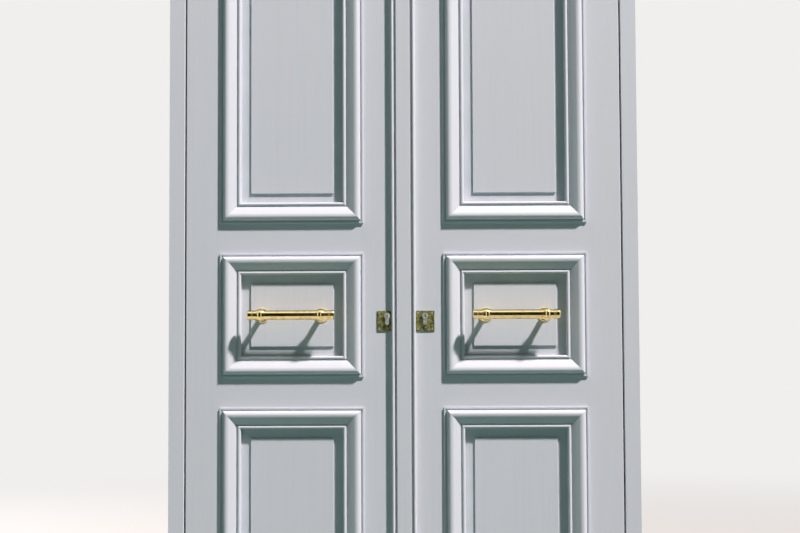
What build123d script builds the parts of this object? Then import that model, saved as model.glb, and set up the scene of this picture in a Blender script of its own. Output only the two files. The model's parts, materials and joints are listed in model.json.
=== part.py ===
"""Pair of tall panelled entrance doors in their timber frame.

Millimetres. X runs to the right as seen from the street, Y runs into the building and Z is up.
The origin lies on the underside of the threshold, at the middle of its width, in the plane of the
frame's street face. Both leaves are shut, and swing into the building.
"""

import os
from math import sqrt

from build123d import *

# Frame
OPENING_WIDTH = 1200.0  # between the middles of the two hinge-side gaps
LEAF_TOP = 2400.0  # top of a leaf's street face
FRAME_FACE = 43.0  # width of the frame's street face
ARRIS = 1.5  # taken off the street edges of the leaves and the frame's opening
LIP_DEPTH = 20.0  # front to back of the lip that the leaves shut against
EDGE_GAP = 4.0  # open gap round the leaves on the street side
RUNNING_GAP = 2.0  # between a leaf's rear part and the frame
THRESHOLD_HEIGHT = 25.0
THRESHOLD_NOSE = 20.0  # how far the threshold stands out of the street face
NOSE_FALL = 6.0
NOSE_ROUNDING = 4.0
FIXING_HOLE_RADIUS = 5.0
FIXING_HOLES_PER_JAMB = 4
FIXING_END_DISTANCE = 400.0  # keeps the end holes clear of the hinges

# Leaves
LEAF_THICKNESS = 54.0
EDGE_REBATE = 12.0  # how far a leaf's rear part reaches past its street face
SWING_CLEARANCE = 0.8  # left between one leaf's corner and the other leaf as it swings
HINGE_STILE_FACE = 96.0  # from the middle of the hinge-side gap to the moulding
MEETING_STILE_FACE = 109.5  # from the middle of the pair to the moulding
BOTTOM_RAIL_FACE = 221.0
LOWER_MOULDING_HEIGHT = 546.0
LOCK_RAIL_FACE = 83.5
MIDDLE_MOULDING_HEIGHT = 339.0
TOP_RAIL_FACE = 98.0
TENON_THICKNESS = 18.0
TENON_LENGTH = 62.0
TENON_SHOULDER = 16.0
GROOVE_DEPTH = 12.0
SEAL_GROOVE_WIDTH = 5.0  # for a brush seal in the left leaf's meeting edge
SEAL_GROOVE_DEPTH = 2.5
SEAL_GROOVE_COVER = 6.0  # timber between the groove and the room

# Panels
FIELD_DEPTH = 10.0  # raised field behind the stile's face
FIELD_RAISE = 4.5
MARGIN_WIDTH = 26.0  # sunk margin between the moulding's bead and the field
FIELD_EDGE_BREAK = 0.8
TONGUE_THICKNESS = 12.0
TONGUE_PLAY = 1.0

# Street-side moulding
MOULDING_WIDTH = 57.5
MOULDING_LAP = 15.0  # part of the width that lies on the stile
MOULDING_PROUD = 16.0
EDGE_FILLET_HEIGHT = 5.0
EDGE_FILLET_WIDTH = 4.0
EDGE_GROOVE_WIDTH = 4.2  # between the edge fillet and the nose
EDGE_GROOVE_FLOOR = 2.2
NOSE_FOOT_HEIGHT = 8.0
NOSE_CREST = 19.0
SLOPE_START = 26.0
SLOPE_DROP = 1.6
QUIRK_START = 45.5
QUIRK_LIP_HEIGHT = 3.0
QUIRK_FLOOR = 0.5
BEAD_START = 47.7

# Room-side moulding
INSIDE_MOULDING_WIDTH = 22.0
INSIDE_MOULDING_SETBACK = 1.5
INSIDE_MOULDING_FLAT = 3.5

# Astragal over the meeting line
ASTRAGAL_WIDTH = 66.4
ASTRAGAL_PROUD = 14.0
ASTRAGAL_BEAD_WIDTH = 8.3
ASTRAGAL_BEAD_ROUNDING = 4.1
ASTRAGAL_GROOVE_DEPTH = 8.0
ASTRAGAL_EDGE_RADIUS = 1.2

# Lift-off hinges
HINGE_END_DISTANCE = 230.0
HINGES_PER_LEAF = 3
HINGE_HEIGHT = 120.0
HINGE_PLATE_THICKNESS = 3.0
HINGE_PLATE_INSET = 2.0  # timber left in front of the plate
KNUCKLE_RADIUS = 7.0
KNUCKLE_STANDOFF = 1.0
KNUCKLE_JOINT = 0.3
PIN_RADIUS = 4.0
PIN_RUNNING_CLEARANCE = 0.05
FINIAL_HEIGHT = 10.0
FINIAL_OUTLINE = ((1.0, 0.0), (0.55, 0.25), (0.75, 0.55), (0.45, 0.9))  # shares of radius, height
HINGE_SCREW_ROWS = (-0.375, -0.125, 0.125, 0.375)  # shares of the hinge's height from its middle
HINGE_SCREW_STAGGER = 6.0
HINGE_SCREW_LENGTH = 22.0
HINGE_SCREW_HEAD_RADIUS = 4.5
HINGE_SCREW_SHANK_RADIUS = 2.2

# Pull handles
PULL_END_SPACE = 21.75  # between the bar's end and the moulding
PULL_POST_INSET = 36.5  # post's middle in from the bar's end
PULL_RADIUS = 13.0
PULL_STANDOFF = 53.0  # bar axis in front of the panel's field
COLLAR_RADIUS = 14.4
COLLAR_WIDTH = 3.0
NECK_RADIUS = 10.0  # inside the post's eye
SLEEVE_RADIUS = 12.3
SLEEVE_WIDTH = 8.8
RING_RADIUS = 14.0
RING_WIDTH = 4.0
RING_EDGE = 0.7
GROOVE_RADIUS = 11.0
GROOVE_WIDTH = 1.4
CAP_RADIUS = 13.0
CAP_ROUNDING = 2.5
BALL_RADIUS = 17.2
BALL_WIDTH = 16.0
POST_RADIUS = 7.5
POST_CUP_RADIUS = 13.5
POST_CUP_EDGE = 3.0  # cup's wide end inside the ball's back
POST_CUP_LENGTH = 12.0
POST_FLARE_LENGTH = 7.0
POST_BASE_RADIUS = 19.5
POST_BASE_THICKNESS = 3.0
POST_BASE_SLOPE = 2.0
POST_BASE_RISE = 1.0
EYE_CLEARANCE = 0.1
STUD_RADIUS = 4.0
STUD_GRIP = 16.0
STUD_GRIP_CLEARANCE = 0.05
STUD_HOLE_CLEARANCE = 0.5

# Locks
LOCK_DROP = 3.0  # axis of the key plugs below that of the pull handles
LEFT_BACKSET = 65.0
RIGHT_BACKSET = 35.0
PROFILE_RADIUS = 8.5
PROFILE_STEM_WIDTH = 10.0
PROFILE_HEIGHT = 33.0
PROFILE_PROUD = 7.8  # cylinder end in front of the leaf's face
PROFILE_CLEARANCE = 0.3
PLUG_RADIUS = 6.5
PLUG_CLEARANCE = 0.05
PLUG_PROUD = 0.6
KEYWAY_WIDTH = 2.2
KEYWAY_HEIGHT = 8.6
KEYWAY_DEPTH = 9.0
CAM_WIDTH = 9.2
CAM_REACH = 14.0
CAM_THICKNESS = 7.0
CAM_SLOT_CLEARANCE = 0.6
CAM_CASE_CLEARANCE = 2.0
CAM_REST_ANGLE = 30.0
CYLINDER_SCREW_DROP = 19.5  # screw that holds the cylinder, below the key plug
CYLINDER_SCREW_HEAD_RADIUS = 4.4
CYLINDER_SCREW_SHANK_RADIUS = 2.4
CYLINDER_SCREW_PAST = 2.0  # screw's end past the middle of the cylinder
CASE_WIDTH = 16.0
CASE_WALL = 2.0
CASE_BEHIND_AXIS = 20.0
FACEPLATE_WIDTH = 22.0
FACEPLATE_THICKNESS = 3.0
FACEPLATE_OVERHANG = 8.0
LEFT_CASE_BELOW = 46.0
LEFT_CASE_ABOVE = 84.0
RIGHT_CASE_BELOW = 96.0
DEADBOLT_RISE = 54.0  # deadbolt above the key plug
DEADBOLT_HEIGHT = 24.0
DEADBOLT_LENGTH = 70.0
BOLT_CLEARANCE = 0.3
BOLT_THROW = 14.0
STRIKE_HEIGHT = 50.0
STRIKE_THICKNESS = 2.5
SHOOT_BOLT_INSET = 20.5  # rod axis in from the right leaf's meeting edge
SHOOT_BOLT_RADIUS = 5.0
SHOOT_BOLT_END_INSET = 0.5
SHOOT_BOLT_CASE_GAP = 1.0  # upper rod's foot below the case's inner top
SHOOT_BOLT_SCREW_GAP = 3.0  # lower rod's head below the cylinder's screw
KEEP_LENGTH = 60.0
KEEP_WIDTH = 20.0
KEEP_THICKNESS = 2.0
KEEP_SPARE_DEPTH = 2.0
LOCK_SCREW_HEAD_RADIUS = 3.2
LOCK_SCREW_SHANK_RADIUS = 1.6
LOCK_SCREW_LENGTH = 14.0
LOCK_SCREW_EDGE = 5.0

# Escutcheons
ESCUTCHEON_WIDTH = 51.0
ESCUTCHEON_HEIGHT = 56.0
ESCUTCHEON_THICKNESS = 2.5
ESCUTCHEON_BEVEL = 0.6
ESCUTCHEON_DROP = 14.0  # plate's middle below the key plug
ESCUTCHEON_SCREW_INSET = 6.0
ESCUTCHEON_FIT = 0.3
CUT_PLATE_SHIFT = 2.0  # left street plate's outer edge past that of a centred plate

# Places worked out from the sizes
LIP_EDGE = OPENING_WIDTH / 2 + EDGE_GAP / 2
LEAF_EDGE = OPENING_WIDTH / 2 - EDGE_GAP / 2
LEAF_REAR_EDGE = LEAF_EDGE + EDGE_REBATE
FRAME_REAR_EDGE = LEAF_REAR_EDGE + RUNNING_GAP
FRAME_OUTER = LIP_EDGE + FRAME_FACE
SHOULDER_Y = LIP_DEPTH + RUNNING_GAP
LEAF_BOTTOM = THRESHOLD_HEIGHT + EDGE_GAP
LEAF_REAR_BOTTOM = LEAF_BOTTOM - EDGE_REBATE
LEAF_REAR_TOP = LEAF_TOP + EDGE_REBATE
THRESHOLD_REAR_TOP = LEAF_REAR_BOTTOM - RUNNING_GAP
HEAD_LIP_BOTTOM = LEAF_TOP + EDGE_GAP
HEAD_REAR_BOTTOM = LEAF_REAR_TOP + RUNNING_GAP
FRAME_TOP = HEAD_LIP_BOTTOM + FRAME_FACE
MIDDLE_Y = LEAF_THICKNESS / 2
MARGIN_DEPTH = FIELD_DEPTH + FIELD_RAISE
HINGE_X = (LEAF_REAR_EDGE + FRAME_REAR_EDGE) / 2
HINGE_Y = LEAF_THICKNESS + KNUCKLE_STANDOFF + KNUCKLE_RADIUS
MOULDING_OUTER_WIDTH = OPENING_WIDTH / 2 - HINGE_STILE_FACE - MEETING_STILE_FACE
PANEL_X = MEETING_STILE_FACE + MOULDING_OUTER_WIDTH / 2
TIMBER_OPENING_HALF = MOULDING_OUTER_WIDTH / 2 - MOULDING_LAP
FIELD_INSET = MOULDING_WIDTH - MOULDING_LAP + MARGIN_WIDTH
PULL_LENGTH = MOULDING_OUTER_WIDTH - 2 * MOULDING_WIDTH - 2 * PULL_END_SPACE
PULL_POST_SPACING = PULL_LENGTH - 2 * PULL_POST_INSET
RIGHT_CASE_ABOVE = CAM_REACH + CAM_CASE_CLEARANCE + CASE_WALL


def corner_reach(forward):
    """How far a leaf's corner, this far in front of the hinge axis, swings past its own edge."""
    leaf_width = HINGE_X - ASTRAGAL_WIDTH / 2
    return sqrt(leaf_width**2 + forward**2) - leaf_width


ASTRAGAL_GAP = SWING_CLEARANCE + corner_reach(HINGE_Y + ASTRAGAL_PROUD)
MEETING_GAP = SWING_CLEARANCE + corner_reach(HINGE_Y)
MEETING_X = ASTRAGAL_WIDTH / 2 - ASTRAGAL_BEAD_WIDTH - ASTRAGAL_GAP / 2
LEFT_MEETING_EDGE = MEETING_X - MEETING_GAP / 2
RIGHT_MEETING_EDGE = MEETING_X + MEETING_GAP / 2
LEFT_LOCK_X = LEFT_MEETING_EDGE - LEFT_BACKSET
RIGHT_LOCK_X = RIGHT_MEETING_EDGE + RIGHT_BACKSET
SHOOT_BOLT_X = RIGHT_MEETING_EDGE + SHOOT_BOLT_INSET
SHOOT_BOLT_HOLE = SHOOT_BOLT_RADIUS + BOLT_CLEARANCE


def moulding_rows():
    """Bottom and top of each street-side moulding frame, by the name of its panel."""
    lower = LEAF_BOTTOM + BOTTOM_RAIL_FACE
    middle = lower + LOWER_MOULDING_HEIGHT + LOCK_RAIL_FACE
    upper = middle + MIDDLE_MOULDING_HEIGHT + LOCK_RAIL_FACE
    return {
        "lower": (lower, lower + LOWER_MOULDING_HEIGHT),
        "middle": (middle, middle + MIDDLE_MOULDING_HEIGHT),
        "upper": (upper, LEAF_TOP - TOP_RAIL_FACE),
    }


ROWS = moulding_rows()
PULL_Z = sum(ROWS["middle"]) / 2
LOCK_HEIGHT = PULL_Z - LOCK_DROP
DEADBOLT_Z = LOCK_HEIGHT + DEADBOLT_RISE


# Plain shapes
def block(x_range, y_range, z_range):
    """Box between two corners, given as ranges in any order."""
    lows = [min(pair) for pair in (x_range, y_range, z_range)]
    sizes = [abs(pair[1] - pair[0]) for pair in (x_range, y_range, z_range)]
    return Pos(*lows) * Box(*sizes, align=(Align.MIN, Align.MIN, Align.MIN))


def rod_y(radius, x, z, y_start, y_end):
    """Round bar along Y."""
    shape = Cylinder(radius, abs(y_end - y_start))
    return Pos(x, (y_start + y_end) / 2, z) * Rot(90, 0, 0) * shape


def rod_z(radius, x, y, z_start, z_end):
    """Round bar along Z."""
    return Pos(x, y, (z_start + z_end) / 2) * Cylinder(radius, abs(z_end - z_start))


def prism_y(sketch, y_start, y_end):
    """Sketch drawn in X and Z, carried along Y from one place to the other."""
    face = Plane.XZ.offset(-y_start) * sketch
    return extrude(face, amount=y_end - y_start, dir=(0, 1, 0))


def group(solids):
    """Several separate solids kept as one node."""
    return Compound(children=[solid for part in solids for solid in part.solids()])


def mirrored(shape):
    """The same piece on the other leaf."""
    return mirror(shape, about=Plane.YZ)


def countersunk_screw(length, head_radius, shank_radius):
    """Wood screw with its head's face at the origin, pointing down -Z."""
    head_depth = head_radius - shank_radius
    tip = 2 * shank_radius
    outline = Polyline(
        (0, 0),
        (head_radius, 0),
        (shank_radius, -head_depth),
        (shank_radius, tip - length),
        (0, -length),
        close=True,
    )
    return revolve(make_face(Plane.XZ * outline), Axis.Z)


# Mitred mouldings
def street_moulding_profile():
    """Section of the street-side moulding: X across it from the outer edge, -Y towards the street."""
    nose_start = EDGE_FILLET_WIDTH + EDGE_GROOVE_WIDTH
    crest = (NOSE_CREST, -MOULDING_PROUD)
    slope = (SLOPE_START, SLOPE_DROP - MOULDING_PROUD)
    quirk = (QUIRK_START, -QUIRK_LIP_HEIGHT)
    bead_radius = (MOULDING_WIDTH - BEAD_START) / 2
    bead_top = (BEAD_START + bead_radius, -(QUIRK_FLOOR + bead_radius))
    nose = TangentArc(crest, (nose_start, -NOSE_FOOT_HEIGHT), tangent=(-1, 0))
    fall = TangentArc(crest, slope, tangent=(1, 0))
    run = TangentArc(slope, quirk, tangent=fall % 1)
    bead = ThreePointArc((BEAD_START, -QUIRK_FLOOR), bead_top, (MOULDING_WIDTH, -QUIRK_FLOOR))
    back = Polyline(
        (MOULDING_WIDTH, -QUIRK_FLOOR),
        (MOULDING_WIDTH, MARGIN_DEPTH),
        (MOULDING_LAP, MARGIN_DEPTH),
        (MOULDING_LAP, 0),
        (0, 0),
        (0, -EDGE_FILLET_HEIGHT),
        (EDGE_FILLET_WIDTH, -EDGE_FILLET_HEIGHT),
        (EDGE_FILLET_WIDTH, -EDGE_GROOVE_FLOOR),
        (nose_start, -EDGE_GROOVE_FLOOR),
        (nose_start, -NOSE_FOOT_HEIGHT),
    )
    quirk_floor = Polyline(quirk, (QUIRK_START, -QUIRK_FLOOR), (BEAD_START, -QUIRK_FLOOR))
    return make_face([nose, fall, run, quirk_floor, bead, back])


def room_moulding_profile():
    """Section of the room-side moulding: X from the timber's edge, Y from the panel's margin."""
    proud = MARGIN_DEPTH - INSIDE_MOULDING_SETBACK
    crest = (INSIDE_MOULDING_FLAT, proud)
    foot = (INSIDE_MOULDING_WIDTH, INSIDE_MOULDING_SETBACK)
    ovolo = TangentArc(crest, foot, tangent=(1, 0))
    back = Polyline(foot, (INSIDE_MOULDING_WIDTH, 0), (0, 0), (0, proud), crest)
    return make_face([ovolo, back])


def mitred_length(profile, width, length):
    """One length of moulding along Z, centred, with its ends cut back at 45 degrees."""
    reach = 4 * (MOULDING_PROUD + MARGIN_DEPTH)
    bar = extrude(profile, amount=length / 2, both=True)
    outline = Polyline(
        (0, -length / 2),
        (width, width - length / 2),
        (width, length / 2 - width),
        (0, length / 2),
        close=True,
    )
    return bar & prism_y(make_face(outline), -reach, reach)


def moulding_frame(profile, width, frame_width, frame_height):
    """The four mitred lengths round a panel, as separate solids about the panel's middle."""
    upright = mitred_length(profile, width, frame_height)
    level = mitred_length(profile, width, frame_width)
    return [
        Rot(0, angle, 0) * Pos(-span / 2, 0, 0) * length
        for angle, span, length in (
            (0, frame_width, upright),
            (180, frame_width, upright),
            (-90, frame_height, level),
            (90, frame_height, level),
        )
    ]


def street_mouldings(row):
    """Street-side moulding frame of the left leaf's panel in this row."""
    bottom, top = ROWS[row]
    lengths = moulding_frame(
        street_moulding_profile(), MOULDING_WIDTH, MOULDING_OUTER_WIDTH, top - bottom
    )
    return group([Pos(-PANEL_X, 0, (bottom + top) / 2) * length for length in lengths])


def room_mouldings():
    """Room-side moulding frames of all three panels of the left leaf."""
    lengths = []
    for bottom, top in ROWS.values():
        frame = moulding_frame(
            room_moulding_profile(),
            INSIDE_MOULDING_WIDTH,
            2 * TIMBER_OPENING_HALF,
            top - bottom - 2 * MOULDING_LAP,
        )
        place = Pos(-PANEL_X, LEAF_THICKNESS - MARGIN_DEPTH, (bottom + top) / 2)
        lengths += [place * length for length in frame]
    return group(lengths)


# Framework of the left leaf
def timber_opening(row, grow=0.0):
    """X and Z ranges of the hole in the framework for one panel, grown on every side."""
    bottom, top = ROWS[row]
    half = TIMBER_OPENING_HALF + grow
    x_range = (-PANEL_X - half, -PANEL_X + half)
    return x_range, (bottom + MOULDING_LAP - grow, top - MOULDING_LAP + grow)


def panel_grooves():
    """Space that the panels' tongues run in, for all three panels."""
    half = TONGUE_THICKNESS / 2
    rooms = []
    for row in ROWS:
        x_range, z_range = timber_opening(row, GROOVE_DEPTH)
        rooms.append(block(x_range, (MIDDLE_Y - half, MIDDLE_Y + half), z_range))
    return rooms


def panel(row):
    """Raised and fielded panel with a tongue on all four edges."""
    half_tongue = TONGUE_THICKNESS / 2
    x_body, z_body = timber_opening(row, -TONGUE_PLAY)
    x_tongue, z_tongue = timber_opening(row, GROOVE_DEPTH - TONGUE_PLAY)
    x_field, z_field = timber_opening(row, -FIELD_INSET)
    body = block(x_body, (MARGIN_DEPTH, LEAF_THICKNESS - MARGIN_DEPTH), z_body)
    tongue = block(x_tongue, (MIDDLE_Y - half_tongue, MIDDLE_Y + half_tongue), z_tongue)
    field = block(x_field, (FIELD_DEPTH, LEAF_THICKNESS - FIELD_DEPTH), z_field)
    outer_faces = field.faces().sort_by(Axis.Y)
    edges = outer_faces[0].edges() + outer_faces[-1].edges()
    return body + tongue + chamfer(edges, FIELD_EDGE_BREAK)


def rail_ranges():
    """Bottom and top of each rail's street face, by name."""
    return {
        "bottom_rail": (LEAF_BOTTOM, ROWS["lower"][0] + MOULDING_LAP),
        "lower_lock_rail": (ROWS["lower"][1] - MOULDING_LAP, ROWS["middle"][0] + MOULDING_LAP),
        "upper_lock_rail": (ROWS["middle"][1] - MOULDING_LAP, ROWS["upper"][0] + MOULDING_LAP),
        "top_rail": (ROWS["upper"][1] - MOULDING_LAP, LEAF_TOP),
    }


def tenons():
    """Tenons at both ends of each rail, by the rail's name."""
    half = TENON_THICKNESS / 2
    shapes = {}
    for name, (bottom, top) in rail_ranges().items():
        z_range = (bottom + TENON_SHOULDER, top - TENON_SHOULDER)
        reach = TIMBER_OPENING_HALF + TENON_LENGTH
        x_range = (-PANEL_X - reach, -PANEL_X + reach)
        shapes[name] = block(x_range, (MIDDLE_Y - half, MIDDLE_Y + half), z_range)
    return shapes


def rail(name):
    """Rail between the stiles, rebated on its outer edge where it is the top or bottom one."""
    bottom, top = rail_ranges()[name]
    x_range = (-PANEL_X - TIMBER_OPENING_HALF, -PANEL_X + TIMBER_OPENING_HALF)
    rear_bottom = LEAF_REAR_BOTTOM if name == "bottom_rail" else bottom
    rear_top = LEAF_REAR_TOP if name == "top_rail" else top
    body = block(x_range, (0, SHOULDER_Y), (bottom, top)) & leaf_front()
    body += block(x_range, (SHOULDER_Y, LEAF_THICKNESS), (rear_bottom, rear_top))
    return body + tenons()[name] - panel_grooves()


def leaf_front():
    """Street part of the left leaf, run on past the middle, with its outer arrises taken off."""
    body = block((-LEAF_EDGE, OPENING_WIDTH), (0, SHOULDER_Y), (LEAF_BOTTOM, LEAF_TOP))
    street_edges = body.faces().sort_by(Axis.Y)[0].edges().sort_by(Axis.X)
    return chamfer(street_edges[:-1], ARRIS)


def stile(front_range, rear_range):
    """Full-height stile, grooved and mortised, with its rear part reaching past its street face."""
    body = block(front_range, (0, SHOULDER_Y), (LEAF_BOTTOM, LEAF_TOP)) & leaf_front()
    body += block(rear_range, (SHOULDER_Y, LEAF_THICKNESS), (LEAF_REAR_BOTTOM, LEAF_REAR_TOP))
    return body - panel_grooves() - list(tenons().values())


def hinge_stile():
    """Left leaf's outer stile, let in for the hinge plates and their screws."""
    inner = -PANEL_X - TIMBER_OPENING_HALF
    body = stile((-LEAF_EDGE, inner), (-LEAF_REAR_EDGE, inner))
    return body - leaf_plates() - leaf_hinge_screws()


def left_meeting_stile():
    """Left leaf's inner stile, grooved for its seal, before its lock is let in."""
    span = (-PANEL_X + TIMBER_OPENING_HALF, LEFT_MEETING_EDGE)
    groove_end = LEAF_THICKNESS - SEAL_GROOVE_COVER
    seal_groove = block(
        (LEFT_MEETING_EDGE - SEAL_GROOVE_DEPTH, LEFT_MEETING_EDGE),
        (groove_end - SEAL_GROOVE_WIDTH, groove_end),
        (LEAF_REAR_BOTTOM, LEAF_REAR_TOP),
    )
    return stile(span, span) - seal_groove


def right_meeting_stile():
    """Right leaf's inner stile, before its lock and shoot bolts are let in."""
    span = (-PANEL_X + TIMBER_OPENING_HALF, -RIGHT_MEETING_EDGE)
    return mirrored(stile(span, span))


# Astragal
def rounded_strip(x_start, x_end, radius):
    """Strip on the street face with its two outer edges rounded."""
    strip = block((x_start, x_end), (-ASTRAGAL_PROUD, 0), (LEAF_BOTTOM, LEAF_TOP))
    edges = strip.edges().filter_by(Axis.Z).group_by(Axis.Y)[0]
    return fillet(edges, radius)


def astragal():
    """Left leaf's cover strip: a bead, a groove and a flat that ends at the meeting gap."""
    half = ASTRAGAL_WIDTH / 2
    bead_end = ASTRAGAL_BEAD_WIDTH - half
    groove_end = bead_end + ASTRAGAL_GAP
    bead = rounded_strip(-half, bead_end, ASTRAGAL_BEAD_ROUNDING)
    flat = rounded_strip(groove_end, -groove_end, ASTRAGAL_EDGE_RADIUS)
    floor_y = ASTRAGAL_GROOVE_DEPTH - ASTRAGAL_PROUD
    web = block((bead_end, groove_end), (floor_y, 0), (LEAF_BOTTOM, LEAF_TOP))
    return bead + web + flat


def meeting_bead():
    """Right leaf's bead, the astragal's other edge across the meeting gap."""
    half = ASTRAGAL_WIDTH / 2
    return rounded_strip(half - ASTRAGAL_BEAD_WIDTH, half, ASTRAGAL_BEAD_ROUNDING)


# Hinges of the left leaf
def hinge_heights():
    """Middle of each hinge above the floor."""
    first = LEAF_BOTTOM + HINGE_END_DISTANCE
    step = (LEAF_TOP - HINGE_END_DISTANCE - first) / (HINGES_PER_LEAF - 1)
    return [first + number * step for number in range(HINGES_PER_LEAF)]


def hinge_plate(x_face, into, knuckle_side, z_middle):
    """Plate let in flush at x_face, with a tab out to its own half of the knuckle."""
    x_range = (x_face, x_face + into * HINGE_PLATE_THICKNESS)
    y_start = SHOULDER_Y + HINGE_PLATE_INSET
    half = HINGE_HEIGHT / 2
    plate = block(x_range, (y_start, LEAF_THICKNESS), (z_middle - half, z_middle + half))
    tab_start = z_middle + knuckle_side * KNUCKLE_JOINT / 2
    tab = block(x_range, (LEAF_THICKNESS, HINGE_Y), (tab_start, z_middle + knuckle_side * half))
    return plate + tab


def finial(z_face, direction):
    """Small turned finial on a knuckle's outer end."""
    side = [(share * KNUCKLE_RADIUS, rise * FINIAL_HEIGHT) for share, rise in FINIAL_OUTLINE]
    outline = Polyline((0, 0), *side, (0, FINIAL_HEIGHT), close=True)
    turned = revolve(make_face(Plane.XZ * outline), Axis.Z)
    turn = Rot(0, 0, 0) if direction > 0 else Rot(180, 0, 0)
    return Pos(-HINGE_X, HINGE_Y, z_face) * turn * turned


def frame_plates():
    """Hinge plates as let into the left jamb."""
    return [hinge_plate(-FRAME_REAR_EDGE, -1, -1, z) for z in hinge_heights()]


def leaf_plates():
    """Hinge plates as let into the left leaf's stile."""
    return [hinge_plate(-LEAF_REAR_EDGE, 1, 1, z) for z in hinge_heights()]


def frame_hinge_halves():
    """Lower halves of the lift-off hinges, each with its pin."""
    halves = []
    for z, plate in zip(hinge_heights(), frame_plates()):
        bottom = z - HINGE_HEIGHT / 2
        pin_top = z + HINGE_HEIGHT / 2 - 2 * PIN_RADIUS
        half = plate + rod_z(KNUCKLE_RADIUS, -HINGE_X, HINGE_Y, bottom, z - KNUCKLE_JOINT / 2)
        half += rod_z(PIN_RADIUS, -HINGE_X, HINGE_Y, z - KNUCKLE_JOINT, pin_top)
        halves.append(half + finial(bottom, -1) - frame_hinge_screws(z))
    return halves


def leaf_hinge_halves():
    """Upper halves of the lift-off hinges, bored for the pins."""
    halves = []
    for z, plate in zip(hinge_heights(), leaf_plates()):
        top = z + HINGE_HEIGHT / 2
        bore_top = top - 2 * PIN_RADIUS + PIN_RADIUS / 2
        half = plate + rod_z(KNUCKLE_RADIUS, -HINGE_X, HINGE_Y, z + KNUCKLE_JOINT / 2, top)
        half += finial(top, 1)
        half -= rod_z(PIN_RADIUS + PIN_RUNNING_CLEARANCE, -HINGE_X, HINGE_Y, z, bore_top)
        halves.append(half - leaf_hinge_screws(z))
    return halves


def hinge_screws(x_face, turn, z_middles):
    """Staggered screws through hinge plates, driven along X."""
    y_middle = (SHOULDER_Y + HINGE_PLATE_INSET + LEAF_THICKNESS) / 2
    screw = countersunk_screw(
        HINGE_SCREW_LENGTH, HINGE_SCREW_HEAD_RADIUS, HINGE_SCREW_SHANK_RADIUS
    )
    placed = []
    for z_middle in z_middles:
        for number, share in enumerate(HINGE_SCREW_ROWS):
            y = y_middle + HINGE_SCREW_STAGGER * (-1) ** number
            place = Pos(x_face, y, z_middle + share * HINGE_HEIGHT)
            placed.append(place * Rot(0, turn, 0) * screw)
    return placed


def frame_hinge_screws(*z_middles):
    """Screws that hold the hinges to the left jamb."""
    return hinge_screws(-FRAME_REAR_EDGE, 90, z_middles or hinge_heights())


def leaf_hinge_screws(*z_middles):
    """Screws that hold the hinges to the left leaf."""
    return hinge_screws(-LEAF_REAR_EDGE, -90, z_middles or hinge_heights())


# Pull handles, about the bar's axis, with the panel on the +Y side
def pull_bar():
    """Turned bar with a cap, groove, ring and sleeve at each end, and a neck in each post's eye."""
    half = PULL_LENGTH / 2
    post = PULL_POST_SPACING / 2
    ball = BALL_WIDTH / 2
    outer_collar = post + ball + COLLAR_WIDTH
    inner_collar = post - ball - COLLAR_WIDTH
    ring_start = outer_collar + SLEEVE_WIDTH
    groove_start = ring_start + RING_WIDTH
    cap_start = groove_start + GROOVE_WIDTH
    end = [
        (half, 0),
        (half, CAP_RADIUS - CAP_ROUNDING),
        (half - CAP_ROUNDING / 4, CAP_RADIUS - CAP_ROUNDING / 4),
        (half - CAP_ROUNDING, CAP_RADIUS),
        (cap_start, CAP_RADIUS),
        (cap_start, GROOVE_RADIUS),
        (groove_start, GROOVE_RADIUS),
        (groove_start, RING_RADIUS - RING_EDGE),
        (groove_start - RING_EDGE, RING_RADIUS),
        (ring_start + RING_EDGE, RING_RADIUS),
        (ring_start, RING_RADIUS - RING_EDGE),
        (ring_start, SLEEVE_RADIUS),
        (outer_collar, SLEEVE_RADIUS),
        (outer_collar, COLLAR_RADIUS),
        (post + ball, COLLAR_RADIUS),
        (post + ball, NECK_RADIUS),
        (post - ball, NECK_RADIUS),
        (post - ball, COLLAR_RADIUS),
        (inner_collar, COLLAR_RADIUS),
        (inner_collar, PULL_RADIUS),
    ]
    outline = Polyline(*end, *[(-x, r) for x, r in reversed(end)], close=True)
    return revolve(make_face(outline), Axis.X)


def pull_post():
    """Turned post with an eye for the bar, down to its base on the panel."""
    cup_end = (POST_CUP_RADIUS, BALL_RADIUS - POST_CUP_EDGE)
    neck_start = (POST_RADIUS, cup_end[1] + POST_CUP_LENGTH)
    base_y = PULL_STANDOFF - POST_BASE_THICKNESS
    neck_end = (POST_RADIUS, base_y - POST_FLARE_LENGTH)
    base_start = (POST_BASE_RADIUS - POST_BASE_SLOPE, base_y)
    cup = Spline(cup_end, neck_start, tangents=((-0.4, 1), (0, 1)))
    neck = Line(neck_start, neck_end)
    flare = Spline(neck_end, base_start, tangents=((0, 1), (1, 0.15)))
    base = Polyline(
        base_start,
        (POST_BASE_RADIUS, base_y + POST_BASE_RISE),
        (POST_BASE_RADIUS, PULL_STANDOFF),
        (0, PULL_STANDOFF),
        (0, 0),
        (POST_CUP_RADIUS, 0),
        cup_end,
    )
    stem = revolve(make_face([cup, neck, flare, base]), Axis.Y)
    ball = Sphere(BALL_RADIUS) & Box(BALL_WIDTH, 4 * BALL_RADIUS, 4 * BALL_RADIUS)
    eye = Rot(0, 90, 0) * Cylinder(NECK_RADIUS + EYE_CLEARANCE, 2 * BALL_RADIUS)
    stud_radius = STUD_RADIUS + STUD_GRIP_CLEARANCE
    stud_hole = rod_y(stud_radius, 0, 0, PULL_STANDOFF - STUD_GRIP, PULL_STANDOFF)
    collar_room = [
        Pos(side * BALL_WIDTH, 0, 0) * Box(BALL_WIDTH, 2 * COLLAR_RADIUS, 2 * COLLAR_RADIUS)
        for side in (-1, 1)
    ]
    return (ball + stem) - collar_room - eye - stud_hole


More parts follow.
